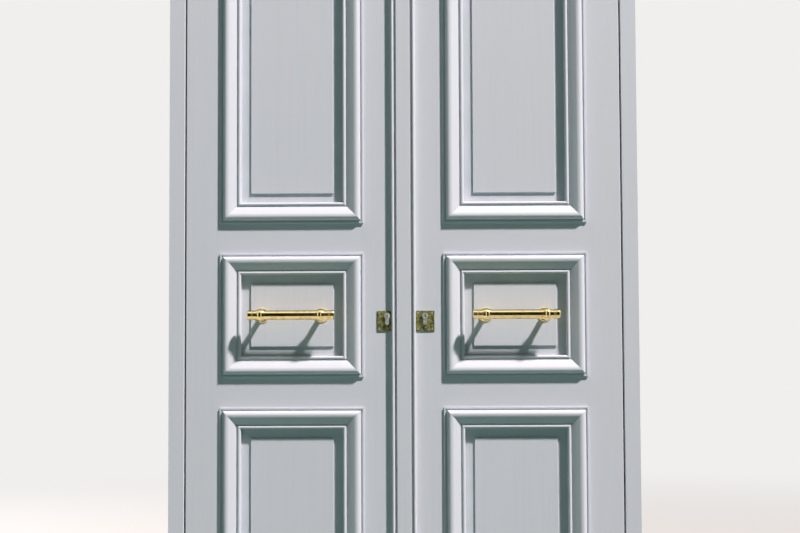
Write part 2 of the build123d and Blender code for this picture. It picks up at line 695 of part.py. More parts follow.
def pull_places():
    """Middle of the street-side bar and of the room-side bar, which is turned about X."""
    street_y = FIELD_DEPTH - PULL_STANDOFF
    room_y = LEAF_THICKNESS - street_y
    return [
        Pos(-PANEL_X, street_y, PULL_Z),
        Pos(-PANEL_X, room_y, PULL_Z) * Rot(180, 0, 0),
    ]


def pull_posts():
    """Four posts of one leaf, two on each side of the panel."""
    shape = pull_post()
    offsets = (-PULL_POST_SPACING / 2, PULL_POST_SPACING / 2)
    return [place * Pos(x, 0, 0) * shape for place in pull_places() for x in offsets]


def pull_studs(radius=STUD_RADIUS):
    """Studs that join the street-side posts to the room-side ones through the panel."""
    y_start = FIELD_DEPTH - STUD_GRIP
    y_end = LEAF_THICKNESS - FIELD_DEPTH + STUD_GRIP
    offsets = (-PULL_POST_SPACING / 2, PULL_POST_SPACING / 2)
    return [rod_y(radius, x - PANEL_X, PULL_Z, y_start, y_end) for x in offsets]


# Locks
def profile_sketch(x, grow=0.0):
    """Cylinder profile, a circle over a round-ended stem, in X and Z about the key plug."""
    width = PROFILE_STEM_WIDTH + 2 * grow
    stem_end = PROFILE_HEIGHT - PROFILE_RADIUS - PROFILE_STEM_WIDTH / 2
    stem = Pos(0, -stem_end / 2) * Rectangle(width, stem_end) + Pos(0, -stem_end) * Circle(width / 2)
    return Pos(x, LOCK_HEIGHT) * (Circle(PROFILE_RADIUS + grow) + stem)


def cylinder_body(lock_x):
    """Cylinder through the leaf, bored for the plug and slotted for the cam."""
    body = prism_y(profile_sketch(lock_x), -PROFILE_PROUD, LEAF_THICKNESS + PROFILE_PROUD)
    body -= rod_y(PLUG_RADIUS + PLUG_CLEARANCE, lock_x, LOCK_HEIGHT, *cylinder_span(1.0))
    half_slot = CAM_WIDTH / 2 + CAM_SLOT_CLEARANCE
    slot_radius = CAM_REACH + CAM_SLOT_CLEARANCE
    return body - rod_y(
        slot_radius, lock_x, LOCK_HEIGHT, MIDDLE_Y - half_slot, MIDDLE_Y + half_slot
    )


def cylinder_span(past=0.0):
    """Y range of a lock cylinder, with a length past both ends."""
    return -PROFILE_PROUD - past, LEAF_THICKNESS + PROFILE_PROUD + past


def key_plug(lock_x):
    """Turning plug with a keyway in each end and the cam in the middle."""
    start, end = cylinder_span(PLUG_PROUD)
    plug = rod_y(PLUG_RADIUS, lock_x, LOCK_HEIGHT, start, end)
    for face, depth in ((start, KEYWAY_DEPTH), (end, -KEYWAY_DEPTH)):
        x_range = (lock_x - KEYWAY_WIDTH / 2, lock_x + KEYWAY_WIDTH / 2)
        z_range = (LOCK_HEIGHT - KEYWAY_HEIGHT / 2, LOCK_HEIGHT + KEYWAY_HEIGHT / 2)
        plug -= block(x_range, (face, face + depth), z_range)
    cam = block(
        (-CAM_THICKNESS / 2, CAM_THICKNESS / 2), (-CAM_WIDTH / 2, CAM_WIDTH / 2), (-CAM_REACH, 0)
    )
    cam &= rod_y(CAM_REACH, 0, 0, -CAM_WIDTH / 2, CAM_WIDTH / 2)
    return plug + Pos(lock_x, MIDDLE_Y, LOCK_HEIGHT) * Rot(0, CAM_REST_ANGLE, 0) * cam


def case_block(edge_x, into, depth, below, above, wall=0.0):
    """Block that a lock case fills behind its faceplate, or the hollow inside its walls."""
    half = CASE_WIDTH / 2 - wall
    return block(
        (edge_x + into * FACEPLATE_THICKNESS, edge_x + into * (depth - wall)),
        (MIDDLE_Y - half, MIDDLE_Y + half),
        (LOCK_HEIGHT - below + wall, LOCK_HEIGHT + above - wall),
    )


def faceplate(edge_x, into, below, above):
    """Faceplate of a lock case, flush at the leaf's meeting edge."""
    return block(
        (edge_x, edge_x + into * FACEPLATE_THICKNESS),
        (MIDDLE_Y - FACEPLATE_WIDTH / 2, MIDDLE_Y + FACEPLATE_WIDTH / 2),
        (
            LOCK_HEIGHT - below - FACEPLATE_OVERHANG,
            LOCK_HEIGHT + above + FACEPLATE_OVERHANG,
        ),
    )


def case_room(edge_x, into, depth, below, above):
    """Room in the stile for a lock case and its faceplate."""
    room = case_block(edge_x, into, depth, below, above)
    return room + faceplate(edge_x, into, below, above)


def lock_case(edge_x, into, depth, below, above):
    """Hollow case with its faceplate."""
    hollow = case_block(edge_x, into, depth, below, above, CASE_WALL)
    return case_room(edge_x, into, depth, below, above) - hollow


def deadbolt(grow=0.0):
    """Left lock's bolt, drawn back flush with the faceplate."""
    half = CASE_WIDTH / 2 - CASE_WALL - BOLT_CLEARANCE + grow
    half_height = DEADBOLT_HEIGHT / 2 + grow
    nose = LEFT_MEETING_EDGE - BOLT_CLEARANCE
    return block(
        (nose - DEADBOLT_LENGTH, nose),
        (MIDDLE_Y - half, MIDDLE_Y + half),
        (DEADBOLT_Z - half_height, DEADBOLT_Z + half_height),
    )


def edge_screws(edge_x, turn, z_heights):
    """Screws through a faceplate, strike or keep, driven along X."""
    screw = countersunk_screw(LOCK_SCREW_LENGTH, LOCK_SCREW_HEAD_RADIUS, LOCK_SCREW_SHANK_RADIUS)
    return [Pos(edge_x, MIDDLE_Y, z) * Rot(0, turn, 0) * screw for z in z_heights]


def cylinder_screw(edge_x, turn, backset):
    """Long screw through a faceplate that holds the cylinder in its case."""
    screw = countersunk_screw(
        backset + CYLINDER_SCREW_PAST, CYLINDER_SCREW_HEAD_RADIUS, CYLINDER_SCREW_SHANK_RADIUS
    )
    return Pos(edge_x, MIDDLE_Y, LOCK_HEIGHT - CYLINDER_SCREW_DROP) * Rot(0, turn, 0) * screw


def escutcheon(x_range, y_face, outward, lock_x):
    """Square plate on the leaf's face, pierced for the cylinder and its four screws."""
    z_middle = LOCK_HEIGHT - ESCUTCHEON_DROP
    z_range = (z_middle - ESCUTCHEON_HEIGHT / 2, z_middle + ESCUTCHEON_HEIGHT / 2)
    plate = block(x_range, (y_face, y_face + outward * ESCUTCHEON_THICKNESS), z_range)
    outer_face = plate.faces().sort_by(Axis.Y)[0 if outward < 0 else -1]
    plate = chamfer(outer_face.edges(), ESCUTCHEON_BEVEL)
    opening = profile_sketch(lock_x, ESCUTCHEON_FIT)
    plate -= prism_y(opening, -2 * PROFILE_PROUD, LEAF_THICKNESS + 2 * PROFILE_PROUD)
    return plate - escutcheon_screws(x_range, y_face, outward)


def escutcheon_screws(x_range, y_face, outward):
    """Small screws in a plate's corners, on one side only where the plate is cut short."""
    screw = countersunk_screw(LOCK_SCREW_LENGTH, LOCK_SCREW_HEAD_RADIUS, LOCK_SCREW_SHANK_RADIUS)
    z_middle = LOCK_HEIGHT - ESCUTCHEON_DROP
    turn = Rot(90, 0, 0) if outward < 0 else Rot(-90, 0, 0)
    columns = [x_range[0] + ESCUTCHEON_SCREW_INSET]
    if x_range[1] - x_range[0] > ESCUTCHEON_WIDTH - ESCUTCHEON_SCREW_INSET:
        columns.append(x_range[1] - ESCUTCHEON_SCREW_INSET)
    places = []
    for x in columns:
        for rise in (-1, 1):
            z = z_middle + rise * (ESCUTCHEON_HEIGHT / 2 - ESCUTCHEON_SCREW_INSET)
            places.append(Pos(x, y_face + outward * ESCUTCHEON_THICKNESS, z) * turn * screw)
    return places


def left_street_plate_range():
    """The left street-side plate is cut short where it meets the astragal."""
    start = LEFT_LOCK_X - ESCUTCHEON_WIDTH / 2 - CUT_PLATE_SHIFT
    return start, -ASTRAGAL_WIDTH / 2 - ESCUTCHEON_FIT


def plate_range(lock_x):
    """X range of a whole plate centred on its cylinder."""
    return lock_x - ESCUTCHEON_WIDTH / 2, lock_x + ESCUTCHEON_WIDTH / 2


def shoot_bolts(grow=0.0):
    """Right lock's upper and lower rods, drawn back into the leaf, or their rooms when grown."""
    end_inset = 0.0 if grow else SHOOT_BOLT_END_INSET
    top_end = LEAF_REAR_TOP - end_inset
    bottom_end = LEAF_REAR_BOTTOM + end_inset
    upper_start = LOCK_HEIGHT + RIGHT_CASE_ABOVE - CASE_WALL - SHOOT_BOLT_CASE_GAP
    screw_bottom = LOCK_HEIGHT - CYLINDER_SCREW_DROP - CYLINDER_SCREW_SHANK_RADIUS
    lower_start = screw_bottom - SHOOT_BOLT_SCREW_GAP
    radius = SHOOT_BOLT_RADIUS + grow
    return {
        "upper": rod_z(radius, SHOOT_BOLT_X, MIDDLE_Y, upper_start, top_end),
        "lower": rod_z(radius, SHOOT_BOLT_X, MIDDLE_Y, bottom_end, lower_start),
    }


# Frame
def fixing_heights():
    """Heights of the holes that fix each jamb to the wall."""
    first = FIXING_END_DISTANCE
    step = (HEAD_LIP_BOTTOM - 2 * FIXING_END_DISTANCE) / (FIXING_HOLES_PER_JAMB - 1)
    return [first + number * step for number in range(FIXING_HOLES_PER_JAMB)]


def frame_arris():
    """Wedge that takes the arris off the street edge of the frame's opening."""
    faces = []
    for depth in (0.0, ARRIS):
        width = 2 * (LIP_EDGE + ARRIS - depth)
        top = HEAD_LIP_BOTTOM + ARRIS - depth
        outline = Pos(0, (top - FRAME_TOP) / 2) * Rectangle(width, top + FRAME_TOP)
        faces.append(Plane.XZ.offset(-depth) * outline)
    return loft(faces)


def jamb():
    """Left jamb: a lip in front, let in behind it for the hinges, bored for its fixings."""
    lip = block((-FRAME_OUTER, -LIP_EDGE), (0, LIP_DEPTH), (0, HEAD_LIP_BOTTOM))
    rear = block((-FRAME_OUTER, -FRAME_REAR_EDGE), (LIP_DEPTH, LEAF_THICKNESS), (0, HEAD_LIP_BOTTOM))
    hole = Rot(0, 90, 0) * Cylinder(FIXING_HOLE_RADIUS, 2 * FRAME_FACE)
    hole_y = (LIP_DEPTH + LEAF_THICKNESS) / 2
    holes = [Pos(-FRAME_OUTER, hole_y, z) * hole for z in fixing_heights()]
    return lip + rear - holes - frame_plates() - frame_hinge_screws() - frame_arris()


def head():
    """Head across both jambs, with the same lip and rebate."""
    body = block((-FRAME_OUTER, FRAME_OUTER), (0, LEAF_THICKNESS), (HEAD_LIP_BOTTOM, FRAME_TOP))
    body -= block(
        (-FRAME_REAR_EDGE, FRAME_REAR_EDGE),
        (LIP_DEPTH, LEAF_THICKNESS),
        (HEAD_LIP_BOTTOM, HEAD_REAR_BOTTOM),
    )
    depth = BOLT_THROW + KEEP_SPARE_DEPTH
    hole = rod_z(
        SHOOT_BOLT_HOLE, SHOOT_BOLT_X, MIDDLE_Y, HEAD_REAR_BOTTOM, HEAD_REAR_BOTTOM + depth
    )
    return body - hole - keep_plate(HEAD_REAR_BOTTOM, 1) - frame_arris()


def threshold():
    """Sill between the jambs, weathered in front and rebated behind."""
    outline = Polyline(
        (-THRESHOLD_NOSE, 0),
        (LEAF_THICKNESS, 0),
        (LEAF_THICKNESS, THRESHOLD_REAR_TOP),
        (LIP_DEPTH, THRESHOLD_REAR_TOP),
        (LIP_DEPTH, THRESHOLD_HEIGHT),
        (0, THRESHOLD_HEIGHT),
        (-THRESHOLD_NOSE, THRESHOLD_HEIGHT - NOSE_FALL),
        close=True,
    )
    section = make_face(Plane.YZ * outline)
    body = extrude(section, amount=FRAME_REAR_EDGE, both=True)
    nose_edges = body.edges().filter_by(Axis.X).group_by(Axis.Y)[0]
    body = fillet(nose_edges.sort_by(Axis.Z)[-1], NOSE_ROUNDING)
    for side in (-1, 1):
        body -= block(
            (side * LIP_EDGE, side * FRAME_OUTER), (0, LIP_DEPTH), (0, THRESHOLD_HEIGHT)
        )
    depth = BOLT_THROW - KEEP_SPARE_DEPTH / 2
    hole = rod_z(
        SHOOT_BOLT_HOLE, SHOOT_BOLT_X, MIDDLE_Y, THRESHOLD_REAR_TOP - depth, THRESHOLD_REAR_TOP
    )
    return body - hole - keep_plate(THRESHOLD_REAR_TOP, -1)


def keep_plate(z_face, into):
    """Metal plate let in flush, without its hole."""
    return block(
        (SHOOT_BOLT_X - KEEP_LENGTH / 2, SHOOT_BOLT_X + KEEP_LENGTH / 2),
        (MIDDLE_Y - KEEP_WIDTH / 2, MIDDLE_Y + KEEP_WIDTH / 2),
        (z_face, z_face + into * KEEP_THICKNESS),
    )


def bolt_keeps():
    """Plates that the shoot bolts run into, in the head and in the threshold."""
    hole = rod_z(SHOOT_BOLT_HOLE, SHOOT_BOLT_X, MIDDLE_Y, 0, FRAME_TOP)
    return [keep_plate(HEAD_REAR_BOTTOM, 1) - hole, keep_plate(THRESHOLD_REAR_TOP, -1) - hole]


# Assembly
def frame_nodes():
    """The pieces that stay still."""
    left_jamb = jamb()
    screws = frame_hinge_screws()
    halves = frame_hinge_halves()
    return {
        "left_jamb": left_jamb,
        "right_jamb": mirrored(left_jamb),
        "head": head(),
        "threshold": threshold(),
        "hinge_frame_halves": group(halves + [mirrored(half) for half in halves]),
        "frame_hinge_screws": group(screws + [mirrored(screw) for screw in screws]),
        "bolt_keeps": group(bolt_keeps()),
    }


def shared_leaf_nodes():
    """The left leaf's pieces that the right leaf has mirrored."""
    drilled = panel("middle") - pull_studs(STUD_RADIUS + STUD_HOLE_CLEARANCE)
    nodes = {
        "hinge_stile": hinge_stile(),
        "upper_panel": panel("upper"),
        "middle_panel": drilled,
        "lower_panel": panel("lower"),
        "inside_mouldings": room_mouldings(),
        "hinge_leaf_halves": group(leaf_hinge_halves()),
        "hinge_screws": group(leaf_hinge_screws()),
        "pull_bars": group([place * pull_bar() for place in pull_places()]),
        "pull_posts": group(pull_posts()),
        "pull_studs": group(pull_studs()),
    }
    for row in ROWS:
        nodes[f"{row}_moulding"] = street_mouldings(row)
    for name in rail_ranges():
        nodes[name] = rail(name)
    return nodes


def left_case_size():
    """Edge, direction, depth and extents of the left lock case."""
    depth = LEFT_BACKSET + CASE_BEHIND_AXIS
    return LEFT_MEETING_EDGE, -1, depth, LEFT_CASE_BELOW, LEFT_CASE_ABOVE


def right_case_size():
    """Edge, direction, depth and extents of the right lock case."""
    depth = RIGHT_BACKSET + CASE_BEHIND_AXIS
    return RIGHT_MEETING_EDGE, 1, depth, RIGHT_CASE_BELOW, RIGHT_CASE_ABOVE


def right_lock_rooms():
    """Rooms for the right lock case and its two rods."""
    return [case_room(*right_case_size()), *shoot_bolts(BOLT_CLEARANCE).values()]


def left_lock_nodes():
    """The left leaf's meeting stile with the lock in it."""
    size = left_case_size()
    profile_room = prism_y(profile_sketch(LEFT_LOCK_X, PROFILE_CLEARANCE), *cylinder_span(1.0))
    bolt_room = deadbolt(BOLT_CLEARANCE) + Pos(BOLT_THROW, 0, 0) * deadbolt(BOLT_CLEARANCE)
    overhang = FACEPLATE_OVERHANG - LOCK_SCREW_EDGE
    screws = edge_screws(
        LEFT_MEETING_EDGE,
        90,
        (
            LOCK_HEIGHT - LEFT_CASE_BELOW - overhang,
            LOCK_HEIGHT + LEFT_CASE_ABOVE + overhang,
        ),
    )
    street = left_street_plate_range()
    room = plate_range(LEFT_LOCK_X)
    plate_screws = escutcheon_screws(street, 0, -1) + escutcheon_screws(room, LEAF_THICKNESS, 1)
    screws += plate_screws
    screws.append(cylinder_screw(LEFT_MEETING_EDGE, 90, LEFT_BACKSET))
    stile_body = left_meeting_stile() - case_room(*size) - profile_room - screws
    return {
        "left_meeting_stile": stile_body,
        "left_astragal": astragal(),
        "left_lock_case": lock_case(*size) - profile_room - bolt_room - screws,
        "left_lock_cylinder": cylinder_body(LEFT_LOCK_X) - screws[-1],
        "left_key_plug": key_plug(LEFT_LOCK_X),
        "left_deadbolt": deadbolt(),
        "left_escutcheons": group(
            [
                escutcheon(street, 0, -1, LEFT_LOCK_X),
                escutcheon(room, LEAF_THICKNESS, 1, LEFT_LOCK_X),
            ]
        ),
        "left_lock_screws": group(screws),
    }


def strike_plate():
    """Plate on the right leaf that the left lock's bolt runs into, without its holes."""
    return block(
        (RIGHT_MEETING_EDGE, RIGHT_MEETING_EDGE + STRIKE_THICKNESS),
        (MIDDLE_Y - FACEPLATE_WIDTH / 2, MIDDLE_Y + FACEPLATE_WIDTH / 2),
        (DEADBOLT_Z - STRIKE_HEIGHT / 2, DEADBOLT_Z + STRIKE_HEIGHT / 2),
    )


def right_lock_nodes():
    """The right leaf's meeting stile with the lock, the strike and the shoot bolts in it."""
    size = right_case_size()
    profile_room = prism_y(profile_sketch(RIGHT_LOCK_X, PROFILE_CLEARANCE), *cylinder_span(1.0))
    rods = shoot_bolts()
    rod_rooms = list(shoot_bolts(BOLT_CLEARANCE).values())
    bolt_room = Pos(BOLT_THROW + 2 * BOLT_CLEARANCE, 0, 0) * deadbolt(2 * BOLT_CLEARANCE)
    overhang = FACEPLATE_OVERHANG - LOCK_SCREW_EDGE
    strike_screw = STRIKE_HEIGHT / 2 - LOCK_SCREW_EDGE
    heights = (
        LOCK_HEIGHT - RIGHT_CASE_BELOW - overhang,
        LOCK_HEIGHT + RIGHT_CASE_ABOVE + overhang,
        DEADBOLT_Z - strike_screw,
        DEADBOLT_Z + strike_screw,
    )
    screws = edge_screws(RIGHT_MEETING_EDGE, -90, heights)
    span = plate_range(RIGHT_LOCK_X)
    screws += escutcheon_screws(span, 0, -1) + escutcheon_screws(span, LEAF_THICKNESS, 1)
    screws.append(cylinder_screw(RIGHT_MEETING_EDGE, -90, RIGHT_BACKSET))
    stile_body = right_meeting_stile() - right_lock_rooms() - profile_room
    stile_body = stile_body - bolt_room - strike_plate() - screws
    return {
        "right_meeting_stile": stile_body,
        "right_meeting_bead": meeting_bead(),
        "right_lock_case": lock_case(*size) - profile_room - rod_rooms - screws,
        "right_lock_cylinder": cylinder_body(RIGHT_LOCK_X) - screws[-1],
        "right_key_plug": key_plug(RIGHT_LOCK_X),
        "right_strike_plate": strike_plate() - bolt_room - screws,
        "right_upper_bolt": rods["upper"],
        "right_lower_bolt": rods["lower"],
        "right_escutcheons": group(
            [
                escutcheon(span, 0, -1, RIGHT_LOCK_X),
                escutcheon(span, LEAF_THICKNESS, 1, RIGHT_LOCK_X),
            ]
        ),
        "right_lock_screws": group(screws),
    }


def all_nodes():
    """Every piece of the door set, by name."""
    nodes = frame_nodes()
    for name, shape in shared_leaf_nodes().items():
        nodes[f"left_{name}"] = shape
        nodes[f"right_{name}"] = group([mirrored(solid) for solid in shape.solids()])
    for name in rail_ranges():
        nodes[f"left_{name}"] -= case_room(*left_case_size())
        nodes[f"right_{name}"] -= right_lock_rooms()
    nodes.update(left_lock_nodes())
    nodes.update(right_lock_nodes())
    return nodes


def main():
    os.makedirs("parts", exist_ok=True)
    for name, shape in all_nodes().items():
        export_step(shape, f"parts/{name}.step")


main()
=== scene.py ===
"""Looks of a pair of tall panelled entrance doors in their timber frame.

Metres, in the frame of the construction model: X to the right as seen from the street, Y into the
building, Z up. The CAD nodes keep their modelled shapes and get their finishes here. The screws are
drawn again with their heads' recesses, and brush seals are added in the meeting gap.
"""

import json
import logging
import math
from dataclasses import dataclass, field, replace
from enum import Enum

import bmesh
import bpy
from mathutils import Matrix, Vector

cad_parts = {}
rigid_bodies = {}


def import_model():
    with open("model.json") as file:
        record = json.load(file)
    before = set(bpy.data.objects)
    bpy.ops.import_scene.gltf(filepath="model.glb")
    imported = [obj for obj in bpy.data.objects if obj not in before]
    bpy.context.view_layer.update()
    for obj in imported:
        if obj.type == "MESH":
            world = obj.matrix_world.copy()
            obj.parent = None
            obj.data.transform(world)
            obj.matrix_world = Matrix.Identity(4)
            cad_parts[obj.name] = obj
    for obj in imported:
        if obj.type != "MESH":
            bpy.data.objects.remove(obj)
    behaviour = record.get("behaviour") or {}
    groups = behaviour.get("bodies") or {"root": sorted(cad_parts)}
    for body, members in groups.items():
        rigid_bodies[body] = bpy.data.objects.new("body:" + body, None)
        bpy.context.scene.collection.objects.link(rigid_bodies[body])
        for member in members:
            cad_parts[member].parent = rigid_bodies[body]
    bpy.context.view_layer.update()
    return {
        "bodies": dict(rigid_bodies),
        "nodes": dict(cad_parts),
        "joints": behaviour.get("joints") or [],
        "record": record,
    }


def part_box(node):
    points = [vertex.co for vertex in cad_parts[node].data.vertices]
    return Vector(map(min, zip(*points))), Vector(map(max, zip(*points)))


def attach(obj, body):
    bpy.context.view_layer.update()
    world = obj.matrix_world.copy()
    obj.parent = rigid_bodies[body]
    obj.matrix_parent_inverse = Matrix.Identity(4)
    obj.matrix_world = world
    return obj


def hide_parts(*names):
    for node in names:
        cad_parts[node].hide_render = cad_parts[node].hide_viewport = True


log = logging.getLogger("doors")

MM = 0.001
SEED = 7
PICTURE_WIDTH = 800
SENSOR_WIDTH = 36.0
LEAF_MIDDLE_MM = 27.0  # the leaves' middle plane, behind their street faces
SAME_POINT_MM = 0.001  # points this close are one
SAME_END_MM = 0.01  # points this close to a screw's end lie on it
NUMBER = "NodeSocketFloat"
VECTOR = "NodeSocketVector"
GEOMETRY = "NodeSocketGeometry"

Node = bpy.types.Node
Socket = bpy.types.NodeSocket
Tree = bpy.types.NodeTree
Frame = dict[str, dict]


def linear(code: str) -> tuple[float, float, float, float]:
    """Turns an sRGB colour into the linear one that shaders take.

    Args:
        code: Six hexadecimal digits, such as "C5CBD2".

    Returns:
        Linear red, green, blue and an alpha of 1.
    """
    shares = [int(code[place : place + 2], 16) / 255 for place in (0, 2, 4)]
    bent = [c / 12.92 if c <= 0.04045 else ((c + 0.055) / 1.055) ** 2.4 for c in shares]
    return bent[0], bent[1], bent[2], 1.0


def add_node(tree: Tree, kind: str, inputs: dict | None = None, **settings: object) -> Node:
    """Adds one node to a tree.

    Args:
        tree: The node tree of a material, the world or a modifier.
        kind: Blender's name for the kind of node.
        inputs: What each input takes, by its name or number: a socket to link, a node whose first
            output is linked, or a value.
        **settings: Properties of the node itself.

    Returns:
        The new node.
    """
    node = tree.nodes.new(kind)
    for name, value in settings.items():
        setattr(node, name, value)
    for key, value in (inputs or {}).items():
        if isinstance(value, Node):
            value = value.outputs[0]
        if isinstance(value, Socket):
            tree.links.new(value, node.inputs[key])
        else:
            node.inputs[key].default_value = value
    return node


def new_material(name: str) -> tuple[bpy.types.Material, Tree]:
    """Makes an empty node material.

    Args:
        name: The material's name.

    Returns:
        The material and its cleared node tree.
    """
    material = bpy.data.materials.new(name)
    material.use_nodes = True
    material.node_tree.nodes.clear()
    return material, material.node_tree


def close_material(
    tree: Tree,
    ground: str,
    layers: list[tuple[Node, str]],
    relief: tuple[Node, float, float],
    inputs: dict,
) -> None:
    """Ends a material in one Principled shader, with layers of colour and a relief.

    Args:
        tree: The material's node tree.
        ground: The lowest colour.
        layers: The share and the colour of each layer above it, from below upwards.
        relief: The node that gives its height from 0 to 1, the share that shows, and its depth
            in millimetres.
        inputs: What the shader's other inputs take.
    """
    seen = linear(ground)
    for share, colour in layers:
        seen = add_node(
            tree, "ShaderNodeMix", {0: share, 6: seen, 7: linear(colour)}, data_type="RGBA"
        ).outputs[2]
    height, strength, depth_mm = relief
    bump = add_node(
        tree, "ShaderNodeBump", {"Strength": strength, "Distance": depth_mm * MM, "Height": height}
    )
    shader = add_node(
        tree, "ShaderNodeBsdfPrincipled", inputs | {"Base Color": seen, "Normal": bump}
    )
    add_node(tree, "ShaderNodeOutputMaterial", {"Surface": shader})


def object_place(tree: Tree) -> Socket:
    """Returns the socket that gives a point's place on the object, in metres."""
    return add_node(tree, "ShaderNodeTexCoord").outputs["Object"]


def gap_between(tree: Tree, first: Socket | Node, second: Node | float) -> Node:
    """Measures how far apart two numbers are.

    Args:
        tree: The material's node tree.
        first: One number.
        second: The other number.

    Returns:
        The node that gives the difference without its sign.
    """
    offset = add_node(tree, "ShaderNodeMath", {0: first, 1: second}, operation="SUBTRACT")
    return add_node(tree, "ShaderNodeMath", {0: offset}, operation="ABSOLUTE")


def off_leaf_middle(tree: Tree, place: Socket) -> Node:
    """Measures how far a point lies from the leaves' middle plane, to the street or the room.

    Args:
        tree: The material's node tree.
        place: Place on the object.

    Returns:
        The node that gives the distance, in metres.
    """
    axes = add_node(tree, "ShaderNodeSeparateXYZ", {0: place})
    return gap_between(tree, axes.outputs["Y"], LEAF_MIDDLE_MM * MM)


def add_object(name: str, data: bpy.types.ID) -> bpy.types.Object:
    """Puts a mesh, lamp or camera in the scene.

    Args:
        name: The object's name.
        data: What the object shows.

    Returns:
        The new object, at the origin.
    """
    added = bpy.data.objects.new(name, data)
    bpy.context.scene.collection.objects.link(added)
    return added


def geometry_tree(name: str, inputs: dict[str, str]) -> tuple[Tree, dict[str, str]]:
    """Makes a geometry tree with its named inputs and its output.

    Args:
        name: The tree's name.
        inputs: Each input's name, and the kind of its socket.

    Returns:
        The tree, and each input's identifier.
    """
    tree = bpy.data.node_groups.new(name, "GeometryNodeTree")
    sockets = {}
    for label, kind in inputs.items():
        socket = tree.interface.new_socket(label, in_out="INPUT", socket_type=kind)
        sockets[label] = socket.identifier
    tree.interface.new_socket("Geometry", in_out="OUTPUT", socket_type=GEOMETRY)
    return tree, sockets


def close_geometry(tree: Tree, real: Node, finish: bpy.types.Material) -> None:
    """Ends a geometry tree in a mesh that carries its finish.

    Args:
        tree: The geometry tree.
        real: The node that gives the geometry, with its instances made real.
        finish: The material.
    """
    dressed = add_node(tree, "GeometryNodeSetMaterial", {"Geometry": real, "Material": finish})
    add_node(tree, "NodeGroupOutput", {0: dressed})


def run_tree(
    carrier: bpy.types.Mesh, tree: Tree, sockets: dict[str, str], values: dict
) -> bpy.types.Mesh:
    """Runs a geometry tree once and keeps what it draws as a plain mesh.

    Args:
        carrier: The mesh that the tree starts from, which is removed.
        tree: The geometry tree.
        sockets: Each named input's identifier.
        values: Each named input's value.

    Returns:
        The drawn mesh.
    """
    holder = add_object(f"{tree.name}_holder", carrier)
    modifier = holder.modifiers.new(tree.name, "NODES")
    modifier.node_group = tree
    for name, value in values.items():
        modifier[sockets[name]] = value
    evaluated = holder.evaluated_get(bpy.context.evaluated_depsgraph_get())
    drawn = bpy.data.meshes.new_from_object(evaluated)
    bpy.data.objects.remove(holder)
    bpy.data.meshes.remove(carrier)
    return drawn


class Lie(Enum):
    """Which way a painted member's brush strokes run."""

    UPRIGHT = "upright"
    LEVEL = "level"
    MITRED = "mitred"


@dataclass(frozen=True)
class MitredFrame:
    """Outline of four mitred lengths, in the plane of the door."""

    middle_x: float
    middle_z: float
    half_width: float
    half_height: float


